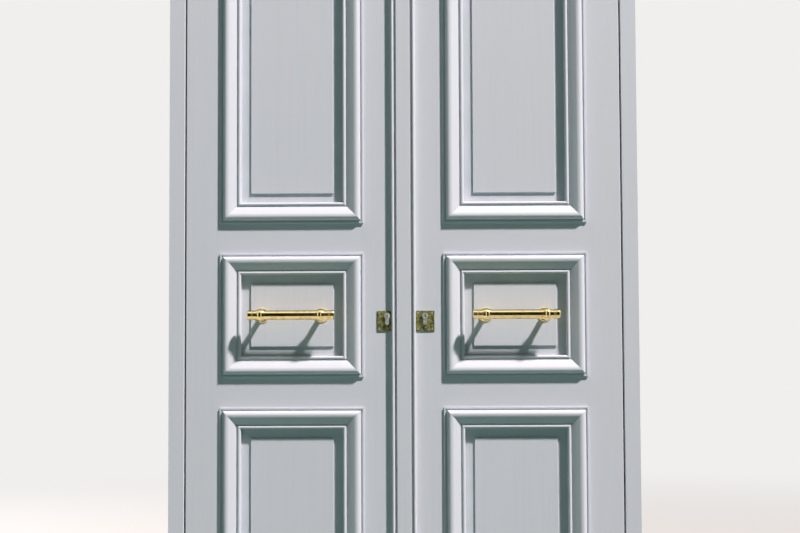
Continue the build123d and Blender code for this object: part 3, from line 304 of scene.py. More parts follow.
@dataclass(frozen=True)
class PaintedTimber:
    """Alkyd satin paint, brushed on planed softwood.

    It gives the eye a pale blue grey with a soft sheen, faint strokes along each member, and a
    little green grey painted shade, with some dirt, where the surface is sunk. Bristle lines are
    about 0.4 mm apart on the real coat. They are drawn 1.6 mm apart, and the strokes 9 mm, so
    that they show.
    """

    colour: str = "CED1DA"
    thin_colour: str = "C5CAD1"
    # Green grey painted shade, with some dirt, for the sunk margins; also drawn in the mitre lines
    shade_and_dirt: str = "7C9290"
    bristle_mm: float = 1.6
    stroke_mm: float = 9.0
    stroke_length: float = 40.0
    thin_from: float = 0.42
    thin_to: float = 0.75
    thin_share: float = 0.3
    stroke_height: float = 0.6
    shade_and_dirt_share: float = 0.28
    shade_and_dirt_patches_per_m: float = 18.0
    smooth: float = 0.54
    rough: float = 0.66
    ior: float = 1.48
    relief_mm: float = 0.05
    relief_strength: float = 0.6
    mitre_line_mm: float = 0.7
    mitre_line_share: float = 0.35
    recess_top_mm: float = 17.5
    recess_floor_mm: float = 13.0

    def material(self, lie: Lie, frames: tuple[MitredFrame, ...] = ()) -> bpy.types.Material:
        """Builds the paint for members whose strokes lie one way.

        Args:
            lie: Which way the strokes run.
            frames: The mitred frames of a moulding, where the lie is MITRED.

        Returns:
            The material.
        """
        material, tree = new_material(f"satin_paint_{lie.value}")
        place = object_place(tree)
        mitre = self._mitre_nodes(tree, place, frames) if lie is Lie.MITRED else None
        stroke = self._streaks(tree, place, lie, mitre, self.stroke_mm, self.stroke_length)
        bristle = self._streaks(tree, place, lie, mitre, self.bristle_mm, self.stroke_length * 2)
        thin = add_node(
            tree,
            "ShaderNodeMapRange",
            {
                "Value": stroke,
                "From Min": self.thin_from,
                "From Max": self.thin_to,
                "To Max": self.thin_share,
            },
        )
        height = add_node(
            tree,
            "ShaderNodeMath",
            {0: stroke, 1: self.stroke_height, 2: bristle},
            operation="MULTIPLY_ADD",
        )
        # The sunk margins get painted shade, with some dirt, broken up by noise
        layers = [(thin, self.thin_colour), (self._shade_and_dirt(tree, place), self.shade_and_dirt)]
        if mitre:
            layers.append((mitre["line"], self.shade_and_dirt))
            height = add_node(
                tree, "ShaderNodeMath", {0: height, 1: mitre["line"]}, operation="SUBTRACT"
            )
        sheen = add_node(
            tree,
            "ShaderNodeMapRange",
            {"Value": bristle, "To Min": self.smooth, "To Max": self.rough},
        )
        relief = (height, self.relief_strength, self.relief_mm)
        close_material(tree, self.colour, layers, relief, {"Roughness": sheen, "IOR": self.ior})
        return material

    def _streaks(
        self,
        tree: Tree,
        place: Socket,
        lie: Lie,
        mitre: dict | None,
        pitch_mm: float,
        stretch: float,
    ) -> Node:
        """Draws noise out along the member.

        Args:
            tree: The material's node tree.
            place: Place on the object.
            lie: Which way the strokes run.
            mitre: What _mitre_nodes gave, for a mitred moulding.
            pitch_mm: Width of a streak.
            stretch: A streak's length over its width.

        Returns:
            The node that gives the noise, from 0 to 1.
        """
        across = 1 / (pitch_mm * MM)
        along = across / stretch
        upright, level = (
            add_node(tree, "ShaderNodeMapping", {"Vector": place, "Scale": scale})
            for scale in ((across, across, along), (along, across, across))
        )
        vector = upright if lie is Lie.UPRIGHT else level
        if mitre:
            vector = add_node(
                tree,
                "ShaderNodeMix",
                {0: mitre["upright"], 4: level, 5: upright},
                data_type="VECTOR",
            ).outputs[1]
        return add_node(tree, "ShaderNodeTexNoise", {"Vector": vector, "Scale": 1.0, "Detail": 3.0})

    def _mitre_nodes(
        self, tree: Tree, place: Socket, frames: tuple[MitredFrame, ...]
    ) -> dict[str, Node]:
        """Finds the upright lengths of mitred frames, and the mitre lines between lengths.

        Args:
            tree: The material's node tree.
            place: Place on the object.
            frames: The frames, which stand one above the other.

        Returns:
            Nodes "upright", 1 on upright lengths, and "line", which rises at a mitre.
        """
        axes = add_node(tree, "ShaderNodeSeparateXYZ", {0: place})
        inward = {}
        for frame in frames:
            for axis, middle, half in (
                ("X", frame.middle_x, frame.half_width), ("Z", frame.middle_z, frame.half_height)
            ):
                away = gap_between(tree, axes.outputs[axis], middle)
                depth = add_node(tree, "ShaderNodeMath", {0: half, 1: away}, operation="SUBTRACT")
                if axis in inward:
                    depth = add_node(
                        tree, "ShaderNodeMath", {0: depth, 1: inward[axis]}, operation="MAXIMUM"
                    )
                inward[axis] = depth
        upright = add_node(
            tree, "ShaderNodeMath", {0: inward["X"], 1: inward["Z"]}, operation="LESS_THAN"
        )
        line = add_node(
            tree,
            "ShaderNodeMapRange",
            {
                "Value": gap_between(tree, inward["X"], inward["Z"]),
                "From Max": self.mitre_line_mm * MM,
                "To Min": self.mitre_line_share,
                "To Max": 0.0,
            },
        )
        return {"upright": upright, "line": line}

    def _shade_and_dirt(self, tree: Tree, place: Socket) -> Node:
        """Works out the share of painted shade and dirt, most in the sunk margins, broken by noise.

        Args:
            tree: The material's node tree.
            place: Place on the object.

        Returns:
            The node that gives the share, from 0 to shade_and_dirt_share.
        """
        sunk = add_node(
            tree,
            "ShaderNodeMapRange",
            {
                "Value": off_leaf_middle(tree, place),
                "From Min": self.recess_floor_mm * MM,
                "From Max": self.recess_top_mm * MM,
                "To Min": self.shade_and_dirt_share,
                "To Max": 0.0,
            },
        )
        patches = add_node(
            tree,
            "ShaderNodeTexNoise",
            {"Vector": place, "Scale": self.shade_and_dirt_patches_per_m, "Detail": 5.0},
        )
        return add_node(tree, "ShaderNodeMath", {0: sunk, 1: patches}, operation="MULTIPLY")


@dataclass(frozen=True)
class StreakedStuff:
    """Oak or pile, whose colour and relief run in streaks along the door's width.

    The coarse streaks give the colour, and the fine ones the relief.
    """

    name: str
    light: str
    dark: str
    coarse_mm: float
    coarse_stretch: float
    fine_mm: float
    fine_stretch: float
    detail: float
    distortion: float
    dark_from: float
    dark_to: float
    relief_strength: float
    relief_mm: float
    roughness: float

    def material(self) -> bpy.types.Material:
        """Builds the material.

        Returns:
            The material.
        """
        material, tree = new_material(self.name)
        place = object_place(tree)
        streaks = []
        for pitch_mm, stretch in (
            (self.coarse_mm, self.coarse_stretch),
            (self.fine_mm, self.fine_stretch),
        ):
            across = 1 / (pitch_mm * MM)
            scale = (across / stretch, across, across)
            inputs = {
                "Vector": add_node(tree, "ShaderNodeMapping", {"Vector": place, "Scale": scale}),
                "Scale": 1.0,
                "Detail": self.detail,
                "Distortion": self.distortion,
            }
            streaks.append(add_node(tree, "ShaderNodeTexNoise", inputs))
        coarse, fine = streaks
        share = add_node(
            tree,
            "ShaderNodeMapRange",
            {"Value": coarse, "From Min": self.dark_from, "From Max": self.dark_to},
        )
        relief = (fine, self.relief_strength, self.relief_mm)
        layers = [(share, self.dark)]
        close_material(tree, self.light, layers, relief, {"Roughness": self.roughness})
        return material


# Oak, planed and oiled, for the sill: warm brown with darker growth lines about 4 mm apart along
# the length, open pores and a dull sheen.
OILED_OAK = StreakedStuff(
    name="oiled_oak",
    light="A5835A",
    dark="6F5134",
    coarse_mm=4.0,
    coarse_stretch=25.0,
    fine_mm=1.0,
    fine_stretch=30.0,
    detail=4.0,
    distortion=0.6,
    dark_from=0.35,
    dark_to=0.65,
    relief_strength=0.5,
    relief_mm=0.2,
    roughness=0.5,
)

# Polypropylene pile, spun grey and cut level, for the brush seals: dull pale grey with streaks
# along the fibres. Fibres are about 0.1 mm thick, and the streaks are drawn 0.5 mm apart to show.
POLYPROPYLENE_PILE = StreakedStuff(
    name="polypropylene_pile",
    light="C6CACE",
    dark="A0A4A8",
    coarse_mm=0.5,
    coarse_stretch=8.0,
    fine_mm=0.5,
    fine_stretch=8.0,
    detail=2.0,
    distortion=0.0,
    dark_from=0.0,
    dark_to=1.0,
    relief_strength=0.6,
    relief_mm=0.1,
    roughness=0.85,
)


@dataclass(frozen=True)
class MottledMetal:
    """A metal whose colour and gloss vary in patches, with fine marks that lie no one way."""

    name: str
    bright: str
    dull: str
    patch_mm: float
    patch_low: float
    patch_high: float
    smooth: float
    rough: float
    mark_mm: float
    mark_depth_mm: float
    mark_strength: float = 0.5
    metallic: float = 1.0
    # Colour of painted shade deeper than the outer faces, as in a keyway
    painted_shade: str | None = None
    painted_shade_depth_mm: float = 0.8
    outer_face_mm: float = 35.0

    def material(self) -> bpy.types.Material:
        """Builds the metal.

        Returns:
            The material.
        """
        material, tree = new_material(self.name)
        place = object_place(tree)
        patches, marks = (
            add_node(
                tree,
                "ShaderNodeTexNoise",
                {"Vector": place, "Scale": 1 / (size_mm * MM), "Detail": detail},
            )
            for size_mm, detail in ((self.patch_mm, 4.0), (self.mark_mm, 3.0))
        )
        share = add_node(
            tree,
            "ShaderNodeMapRange",
            {"Value": patches, "From Min": self.patch_low, "From Max": self.patch_high},
            interpolation_type="SMOOTHSTEP",
        )
        layers = [(share, self.dull)]
        # Painted shade: the keyway darkened below the plug's face
        if self.painted_shade:
            layers.append((self._deep(tree, place), self.painted_shade))
        gloss = add_node(
            tree,
            "ShaderNodeMapRange",
            {"Value": share, "To Min": self.smooth, "To Max": self.rough},
        )
        relief = (marks, self.mark_strength, self.mark_depth_mm)
        inputs = {"Roughness": gloss, "Metallic": self.metallic}
        close_material(tree, self.bright, layers, relief, inputs)
        return material

    def _deep(self, tree: Tree, place: Socket) -> Node:
        """Finds what lies deeper in the door than the outer faces, where shade is painted.

        Args:
            tree: The material's node tree.
            place: Place on the object.

        Returns:
            The node that gives 1 there, and 0 on the outer faces.
        """
        return add_node(
            tree,
            "ShaderNodeMapRange",
            {
                "Value": off_leaf_middle(tree, place),
                "From Min": (self.outer_face_mm - self.painted_shade_depth_mm) * MM,
                "From Max": self.outer_face_mm * MM,
                "To Min": 1.0,
                "To Max": 0.0,
            },
        )


# Cast brass, polished by hands: warm gold, near mirror, with a few duller clouds about 12 mm wide.
POLISHED_BRASS = MottledMetal(
    name="polished_brass",
    bright="F4DE9E",
    dull="D2AE62",
    patch_mm=12.0,
    patch_low=0.5,
    patch_high=0.8,
    smooth=0.12,
    rough=0.26,
    mark_mm=2.0,
    mark_depth_mm=0.01,
)

# Sheet brass, long unpolished: olive gold, mottled in spots of 5 mm, dull and slightly pitted.
PATINATED_BRASS = MottledMetal(
    name="patinated_brass",
    bright="9D9B5E",
    dull="363D22",
    patch_mm=5.0,
    patch_low=0.3,
    patch_high=0.7,
    smooth=0.32,
    rough=0.55,
    mark_mm=1.2,
    mark_depth_mm=0.06,
    metallic=0.4,
)

# Nickel plate, brushed: pale warm grey, half bright, with soft clouds about 5 mm wide.
NICKEL_PLATE = MottledMetal(
    name="nickel_plate",
    bright="C2C7BF",
    dull="8F968E",
    patch_mm=5.0,
    patch_low=0.45,
    patch_high=0.75,
    smooth=0.2,
    rough=0.36,
    mark_mm=0.8,
    mark_depth_mm=0.01,
)

# The same plate on the key plugs: bright on the face, and black in the keyway as painted shade.
NICKEL_KEY_PLUG = replace(NICKEL_PLATE, name="nickel_key_plug", bright="D6DAD2", painted_shade="141612")

# Zinc plated steel: light blue grey with spangles of 4 mm, dull, finely grained.
ZINC_STEEL = MottledMetal(
    name="zinc_plated_steel",
    bright="C2C6CA",
    dull="9A9FA4",
    patch_mm=4.0,
    patch_low=0.4,
    patch_high=0.7,
    smooth=0.34,
    rough=0.46,
    mark_mm=0.8,
    mark_depth_mm=0.02,
)

# The same, weathered on the lock screws: yellowed grey with darker spots of 2.5 mm, half dull.
DULLED_ZINC = replace(
    ZINC_STEEL, name="dulled_zinc", bright="D2CFAE", dull="93937A", patch_mm=2.5, smooth=0.3
)


class Recess(Enum):
    """How many slots cross on a screw's head."""

    SLOT = 1
    CROSS = 2


@dataclass(frozen=True)
class ScrewPlace:
    """Middle of a screw head's face, the way it looks, and the screw's sizes."""

    face: Vector
    outward: Vector
    head_radius: float
    length: float


def separate_bodies(mesh: bpy.types.Mesh) -> list[list[Vector]]:
    """Sorts a mesh's points into its separate closed bodies.

    Args:
        mesh: A mesh, whose triangles may be loose.

    Returns:
        The points of each body.
    """
    shape = bmesh.new()
    shape.from_mesh(mesh)
    bmesh.ops.remove_doubles(shape, verts=shape.verts, dist=SAME_POINT_MM * MM)
    left = set(shape.verts)
    bodies = []
    while left:
        edge_of_search = [left.pop()]
        points = []
        while edge_of_search:
            vertex = edge_of_search.pop()
            points.append(vertex.co.copy())
            for edge in vertex.link_edges:
                other = edge.other_vert(vertex)
                if other in left:
                    left.remove(other)
                    edge_of_search.append(other)
        bodies.append(points)
    shape.free()
    return bodies


def screw_place(points: list[Vector]) -> ScrewPlace:
    """Reads where a screw sits from the points of its solid.

    Args:
        points: The screw's points.

    Returns:
        Its place and sizes.
    """
    low = Vector([min(p[axis] for p in points) for axis in range(3)])
    high = Vector([max(p[axis] for p in points) for axis in range(3)])
    size = high - low
    axis = max(range(3), key=lambda number: size[number])
    middle = (low + high) / 2
    others = [number for number in range(3) if number != axis]
    widths = {}
    for end in (low[axis], high[axis]):
        near = [p for p in points if abs(p[axis] - end) < SAME_END_MM * MM]
        widths[end] = max(
            math.hypot(*(p[number] - middle[number] for number in others)) for p in near
        )
    face_at = max(widths, key=widths.get)
    face = middle.copy()
    face[axis] = face_at
    outward = Vector((0, 0, 0))
    outward[axis] = 1.0 if face_at > middle[axis] else -1.0
    return ScrewPlace(face, outward, widths[face_at], size[axis])


@dataclass
class Screws:
    """Countersunk wood screws of one CAD node, drawn again with their recesses."""

    node: str
    body: str
    recess: Recess
    shank_share: float = 0.49
    slot_share: float = 0.24
    slot_depth_share: float = 0.3
    through_slot: float = 3.0
    cross_arm: float = 1.1
    tip_mm: float = 0.2
    sunk_mm: float = 0.05
    same_size_mm: float = 0.2
    sides: int = 28

    def build(self, source: bpy.types.Object, finish: bpy.types.Material) -> None:
        """Puts a screw at each place that the CAD node has one, in one mesh object.

        Args:
            source: The CAD node's object.
            finish: The screws' material.
        """
        places = [screw_place(points) for points in separate_bodies(source.data)]
        places.sort(key=lambda place: tuple(round(c, 4) for c in place.face))
        groups: dict[tuple[int, int], list[ScrewPlace]] = {}
        step = self.same_size_mm * MM
        for place in places:
            size = (round(place.head_radius / step), round(place.length / step))
            groups.setdefault(size, []).append(place)
        tree, sockets = self._tree(finish)
        joined = bmesh.new()
        for group in groups.values():
            drawn = self._draw(group, tree, sockets)
            joined.from_mesh(drawn)
            bpy.data.meshes.remove(drawn)
        mesh = bpy.data.meshes.new(f"{self.node}_drawn")
        joined.to_mesh(mesh)
        joined.free()
        mesh.materials.append(finish)
        piece = add_object(f"{self.node}_drawn", mesh)
        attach(piece, self.body)
        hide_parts(self.node)
        faces = len(mesh.polygons)
        log.info("%s: %d screws, %d sizes, %d faces", self.node, len(places), len(groups), faces)

    def _draw(
        self, places: list[ScrewPlace], tree: Tree, sockets: dict[str, str]
    ) -> bpy.types.Mesh:
        """Draws the screws of one size.

        Args:
            places: Where they sit.
            tree: The screws' tree.
            sockets: Each named input's identifier.

        Returns:
            Their mesh.
        """
        carrier = bpy.data.meshes.new(f"{self.node}_places")
        carrier.from_pydata([p.face - p.outward * self.sunk_mm * MM for p in places], [], [])
        outward = carrier.attributes.new("outward", "FLOAT_VECTOR", "POINT")
        for number, place in enumerate(places):
            outward.data[number].vector = place.outward
        head_radius = places[0].head_radius
        sizes = {
            "Head Radius": head_radius,
            "Shank Radius": head_radius * self.shank_share,
            "Length": places[0].length - self.sunk_mm * MM,
            "Slot Width": head_radius * self.slot_share,
            "Slot Depth": head_radius * self.slot_depth_share,
        }
        return run_tree(carrier, tree, sockets, sizes)

    def _tree(self, finish: bpy.types.Material) -> tuple[Tree, dict[str, str]]:
        """Builds the tree that puts a screw on each point.

        Args:
            finish: The screws' material.

        Returns:
            The tree, and each named input's identifier.
        """
        sizes = ("Head Radius", "Shank Radius", "Length", "Slot Width", "Slot Depth")
        tree, sockets = geometry_tree(
            f"{self.node}_tree", {"Points": GEOMETRY} | dict.fromkeys(sizes, NUMBER)
        )
        entry = add_node(tree, "NodeGroupInput").outputs
        taper = add_node(
            tree,
            "ShaderNodeMath",
            {0: entry["Head Radius"], 1: entry["Shank Radius"]},
            operation="SUBTRACT",
        )
        shank_length = add_node(
            tree, "ShaderNodeMath", {0: entry["Length"], 1: taper}, operation="SUBTRACT"
        )
        cones = []
        for top, bottom, depth, below_face in (
            (entry["Head Radius"], entry["Shank Radius"], taper, taper),
            (entry["Shank Radius"], self.tip_mm * MM, shank_length, entry["Length"]),
        ):
            cone = add_node(
                tree,
                "GeometryNodeMeshCone",
                {
                    "Vertices": self.sides,
                    "Radius Top": top,
                    "Radius Bottom": bottom,
                    "Depth": depth,
                },
            )
            down = add_node(tree, "ShaderNodeMath", {0: below_face, 1: -1.0}, operation="MULTIPLY")
            offset = add_node(tree, "ShaderNodeCombineXYZ", {"Z": down})
            cones.append(
                add_node(tree, "GeometryNodeTransform", {"Geometry": cone, "Translation": offset})
            )
        head, shank = cones
        cut = add_node(
            tree,
            "GeometryNodeMeshBoolean",
            {"Mesh 1": head, "Mesh 2": self._slots(tree, entry)},
            operation="DIFFERENCE",
            solver="EXACT",
        )
        screw = add_node(tree, "GeometryNodeJoinGeometry")
        for part in (cut, shank):
            tree.links.new(part.outputs[0], screw.inputs[0])
        way = add_node(
            tree, "GeometryNodeInputNamedAttribute", {"Name": "outward"}, data_type="FLOAT_VECTOR"
        )
        turned = add_node(
            tree,
            "FunctionNodeAlignRotationToVector",
            {"Vector": way.outputs["Attribute"]},
            axis="Z",
        )
        spread = add_node(
            tree,
            "GeometryNodeInstanceOnPoints",
            {"Points": entry["Points"], "Instance": screw, "Rotation": turned},
        )
        angle = add_node(
            tree, "FunctionNodeRandomValue", {2: 0.0, 3: math.pi, "Seed": SEED}, data_type="FLOAT"
        )
        about_own_axis = add_node(tree, "ShaderNodeCombineXYZ", {"Z": angle.outputs[1]})
        driven = add_node(
            tree, "GeometryNodeRotateInstances", {"Instances": spread, "Rotation": about_own_axis}
        )
        real = add_node(tree, "GeometryNodeRealizeInstances", {"Geometry": driven})
        close_geometry(tree, real, finish)
        return tree, sockets

    def _slots(self, tree: Tree, entry: bpy.types.bpy_prop_collection) -> Node:
        """Draws the bars that cut the head's slot or cross, half of them above the face.

        Args:
            tree: The screws' tree.
            entry: The tree's input sockets.

        Returns:
            The node that gives the bars' geometry.
        """
        reach = self.through_slot if self.recess is Recess.SLOT else self.cross_arm
        length, height = (
            add_node(tree, "ShaderNodeMath", {0: entry[name], 1: times}, operation="MULTIPLY")
            for name, times in (("Head Radius", reach), ("Slot Depth", 2.0))
        )
        bars = add_node(tree, "GeometryNodeJoinGeometry")
        for arm in range(self.recess.value):
            size = (entry["Slot Width"], length) if arm else (length, entry["Slot Width"])
            extent = add_node(
                tree, "ShaderNodeCombineXYZ", {"X": size[0], "Y": size[1], "Z": height}
            )
            bar = add_node(tree, "GeometryNodeMeshCube", {"Size": extent})
            tree.links.new(bar.outputs[0], bars.inputs[0])
        return bars


@dataclass(frozen=True)
class BrushSeal:
    """Seal across the meeting gap: a strip on one edge, with a fin and two rows of tufts."""

    name: str
    carrier: str
    facing: str
    street_inset_mm: float
    strip_thickness_mm: float
    root_out_mm: float
    body: str = "left_leaf"
    strip_width_mm: float = 4.8
    short_of_facing_mm: float = 0.15
    end_gap_mm: float = 2.0
    fin_mm: float = 0.3
    row_spacing_mm: float = 2.4
    pitch_mm: float = 2.2
    tuft_radius_mm: float = 0.7
    root_share: float = 0.75
    lean_deg: float = 5.0
    shortest_tuft: float = 0.9
    sides: int = 6

    def build(self, finish: bpy.types.Material) -> None:
        """Lays the seal on its carrier's right edge, with its tufts almost to the other leaf.

        Args:
            finish: The seal's material.
        """
        low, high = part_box(self.carrier)
        facing_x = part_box(self.facing)[0].x
        root_x = high.x + self.root_out_mm * MM
        middle_y = low.y + self.street_inset_mm * MM
        bottom_z = low.z + self.end_gap_mm * MM
        sizes = {
            "Height": high.z - self.end_gap_mm * MM - bottom_z,
            "Reach": facing_x - self.short_of_facing_mm * MM - root_x,
            "Strip Thickness": self.strip_thickness_mm * MM,
            "Strip Width": self.strip_width_mm * MM,
            "Fin Thickness": self.fin_mm * MM,
            "Tuft Radius": self.tuft_radius_mm * MM,
            "Pitch": self.pitch_mm * MM,
            "Row Spacing": self.row_spacing_mm * MM,
        }
        tree, sockets = self._tree(finish, sizes)
        values = sizes | {"Root": (root_x, middle_y, bottom_z)}
        drawn = run_tree(bpy.data.meshes.new(f"{self.name}_start"), tree, sockets, values)
        piece = add_object(self.name, drawn)
        if not drawn.materials:
            drawn.materials.append(finish)
        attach(piece, self.body)
        log.info("%s: %d faces", piece.name, len(drawn.polygons))

    def _tree(
        self, finish: bpy.types.Material, sizes: dict[str, float]
    ) -> tuple[Tree, dict[str, str]]:
        """Builds the seal's tree about its root line, and moves the result to its place.

        Args:
            finish: The seal's material.
            sizes: The sizes, whose names become the tree's inputs.

        Returns:
            The tree, and each named input's identifier.
        """
        tree, sockets = geometry_tree(
            f"{self.name}_tree", dict.fromkeys(sizes, NUMBER) | {"Root": VECTOR}
        )
        entry = add_node(tree, "NodeGroupInput").outputs
        whole = add_node(tree, "GeometryNodeJoinGeometry")
        for thickness, width, way in (
            (entry["Strip Thickness"], entry["Strip Width"], -0.5),
            (entry["Reach"], entry["Fin Thickness"], 0.5),
        ):
            extent = add_node(
                tree, "ShaderNodeCombineXYZ", {"X": thickness, "Y": width, "Z": entry["Height"]}
            )
            centre = add_node(
                tree, "ShaderNodeVectorMath", {0: extent, 1: (way, 0.0, 0.5)}, operation="MULTIPLY"
            )
            slab = add_node(tree, "GeometryNodeMeshCube", {"Size": extent})
            placed = add_node(
                tree, "GeometryNodeTransform", {"Geometry": slab, "Translation": centre}
            )
            tree.links.new(placed.outputs[0], whole.inputs[0])
        for row, side in enumerate((-0.5, 0.5)):
            tufts = self._tufts(tree, entry, side, SEED + row)
            tree.links.new(tufts.outputs[0], whole.inputs[0])
        real = add_node(tree, "GeometryNodeRealizeInstances", {"Geometry": whole})
        moved = add_node(
            tree, "GeometryNodeTransform", {"Geometry": real, "Translation": entry["Root"]}
        )
        close_geometry(tree, moved, finish)
        return tree, sockets

    def _tufts(
        self, tree: Tree, entry: bpy.types.bpy_prop_collection, side: float, seed: int
    ) -> Node:
        """Sets one row of leaning tufts along the strip.

        Args:
            tree: The seal's tree.
            entry: The tree's input sockets.
            side: The row's place beside the fin, as a share of the row spacing.
            seed: Seed of the tufts' lean and length.

        Returns:
            The node that gives the row's instances.
        """
        offset_y = add_node(
            tree, "ShaderNodeMath", {0: entry["Row Spacing"], 1: side}, operation="MULTIPLY"
        )
        first_z = add_node(
            tree, "ShaderNodeMath", {0: entry["Pitch"], 1: 0.5}, operation="MULTIPLY"
        )
        start = add_node(tree, "ShaderNodeCombineXYZ", {"Y": offset_y, "Z": first_z})
        step = add_node(tree, "ShaderNodeCombineXYZ", {"Z": entry["Pitch"]})
        share = add_node(
            tree, "ShaderNodeMath", {0: entry["Height"], 1: entry["Pitch"]}, operation="DIVIDE"
        )
        count = add_node(tree, "ShaderNodeMath", {0: share}, operation="FLOOR")
        line = add_node(
            tree,
            "GeometryNodeMeshLine",
            {"Count": count, "Start Location": start, "Offset": step},
            mode="OFFSET",
        )
        root_radius = add_node(
            tree,
            "ShaderNodeMath",
            {0: entry["Tuft Radius"], 1: self.root_share},
            operation="MULTIPLY",
        )
        tuft = add_node(
            tree,
            "GeometryNodeMeshCone",
            {
                "Vertices": self.sides,
                "Radius Top": entry["Tuft Radius"],
                "Radius Bottom": root_radius,
                "Depth": entry["Reach"],
            },
        )
        lean = math.radians(self.lean_deg)
        upright = math.pi / 2
        turn = add_node(
            tree,
            "FunctionNodeRandomValue",
            {0: (0.0, upright - lean, -lean), 1: (0.0, upright + lean, lean), "Seed": seed},
            data_type="FLOAT_VECTOR",
        )
        size = add_node(
            tree,
            "FunctionNodeRandomValue",
            {0: (1.0, 1.0, self.shortest_tuft), 1: (1.0, 1.0, 1.0), "Seed": seed + 2},
            data_type="FLOAT_VECTOR",
        )
        return add_node(
            tree,
            "GeometryNodeInstanceOnPoints",
            {"Points": line, "Instance": tuft, "Rotation": turn, "Scale": size},
        )


# In the groove of the left leaf's meeting edge, near the room side.
ROOM_SEAL = BrushSeal(
    name="left_room_brush_seal",
    carrier="left_meeting_stile",
    facing="right_meeting_stile",
    street_inset_mm=45.5,
    strip_thickness_mm=2.3,
    root_out_mm=-0.1,
)

# Glued to the astragal's edge, behind the bead's crown.
STREET_SEAL = BrushSeal(
    name="left_street_brush_seal",
    carrier="left_astragal",
    facing="right_meeting_bead",
    street_inset_mm=5.6,
    strip_thickness_mm=0.6,
    root_out_mm=0.6,
)


def dress(frame: Frame, node: str, finish: bpy.types.Material) -> None:
    """Gives a CAD node its finish.

    Args:
        node: The node's name.
        finish: Its material.
    """
    for place in frame["nodes"][node].material_slots:
        place.material = finish
    log.info("%s: %s", node, finish.name)


def mitred_frame(node: str, low_z: float | None = None, high_z: float | None = None) -> MitredFrame:
    """Reads a mitred frame's outline from its node's box.

    Args:
        node: The moulding's node.
        low_z: Bottom of the frame, where the node holds several.
        high_z: Top of the frame, where the node holds several.

    Returns:
        The outline.
    """
    low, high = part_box(node)
    bottom = low.z if low_z is None else low_z
    top = high.z if high_z is None else high_z
    return MitredFrame(
        (low.x + high.x) / 2, (bottom + top) / 2, (high.x - low.x) / 2, (top - bottom) / 2
    )


@dataclass
class Finishes:
    """The materials that several sub-assemblies share."""

    paint: PaintedTimber = field(default_factory=PaintedTimber)

    def __post_init__(self) -> None:
        """Makes each shared material once."""
        self.upright = self.paint.material(Lie.UPRIGHT)
        self.level = self.paint.material(Lie.LEVEL)
        self.oak = OILED_OAK.material()
        self.polished_brass = POLISHED_BRASS.material()
        self.patinated_brass = PATINATED_BRASS.material()
        self.nickel = NICKEL_PLATE.material()
        self.nickel_plug = NICKEL_KEY_PLUG.material()
        self.zinc = ZINC_STEEL.material()
        self.dulled_zinc = DULLED_ZINC.material()
        self.pile = POLYPROPYLENE_PILE.material()


@dataclass
class DoorFrame:
    """Jambs, head and sill, with the hinge halves and keeps that stay still."""

    upright: tuple[str, ...] = ("left_jamb", "right_jamb")
    level: tuple[str, ...] = ("head",)
    oak: tuple[str, ...] = ("threshold",)
    zinc: tuple[str, ...] = ("hinge_frame_halves", "bolt_keeps")

    def build(self, frame: Frame, finishes: Finishes) -> None:
        """Dresses the frame and draws its screws.

        Args:
            finishes: The shared materials.
        """
        for names, finish in (
            (self.upright, finishes.upright),
            (self.level, finishes.level),
            (self.oak, finishes.oak),
            (self.zinc, finishes.zinc),
        ):
            for name in names:
                dress(frame, name, finish)
        screws = Screws("frame_hinge_screws", "frame", Recess.CROSS)
        screws.build(frame["nodes"]["frame_hinge_screws"], finishes.zinc)


@dataclass
class Leaf:
    """One door leaf with its panels, mouldings, pulls and lock."""

    side: str
    extra_paint: tuple[str, ...]
    extra_zinc: tuple[str, ...]
    rows: tuple[str, ...] = ("lower", "middle", "upper")
    upright: tuple[str, ...] = ("hinge_stile", "meeting_stile")
    level: tuple[str, ...] = ("bottom_rail", "lower_lock_rail", "upper_lock_rail", "top_rail")
    brass: tuple[str, ...] = ("pull_bars", "pull_posts")
    zinc: tuple[str, ...] = ("hinge_leaf_halves", "lock_case", "pull_studs")

    def build(self, frame: Frame, finishes: Finishes) -> None:
        """Dresses the leaf and draws its screws.

        Args:
            finishes: The shared materials.
        """
        panels = tuple(f"{row}_panel" for row in self.rows)
        for names, finish in (
            (self.upright + panels + self.extra_paint, finishes.upright),
            (self.level, finishes.level),
            (self.brass, finishes.polished_brass),
            (("escutcheons",), finishes.patinated_brass),
            (("lock_cylinder",), finishes.nickel),
            (("key_plug",), finishes.nickel_plug),
            (self.zinc + self.extra_zinc, finishes.zinc),
        ):
            for name in names:
                dress(frame, f"{self.side}_{name}", finish)
        self._dress_mouldings(frame, finishes)
        for kind, finish, recess in (
            ("hinge_screws", finishes.zinc, Recess.CROSS),
            ("lock_screws", finishes.dulled_zinc, Recess.SLOT),
        ):
            name = f"{self.side}_{kind}"
            Screws(name, f"{self.side}_leaf", recess).build(frame["nodes"][name], finish)

    def _dress_mouldings(self, frame: Frame, finishes: Finishes) -> None:
        """Paints each mitred moulding along its own lengths.

        Args:
            finishes: The shared materials.
        """
        inside = f"{self.side}_inside_mouldings"
        inner_frames = []
        for row in self.rows:
            node = f"{self.side}_{row}_moulding"
            outline = mitred_frame(node)
            dress(frame, node, finishes.paint.material(Lie.MITRED, (outline,)))
            lap = outline.half_width - mitred_frame(inside).half_width
            bottom = outline.middle_z - outline.half_height + lap
            top = outline.middle_z + outline.half_height - lap
            inner_frames.append(mitred_frame(inside, bottom, top))
        dress(frame, inside, finishes.paint.material(Lie.MITRED, tuple(inner_frames)))


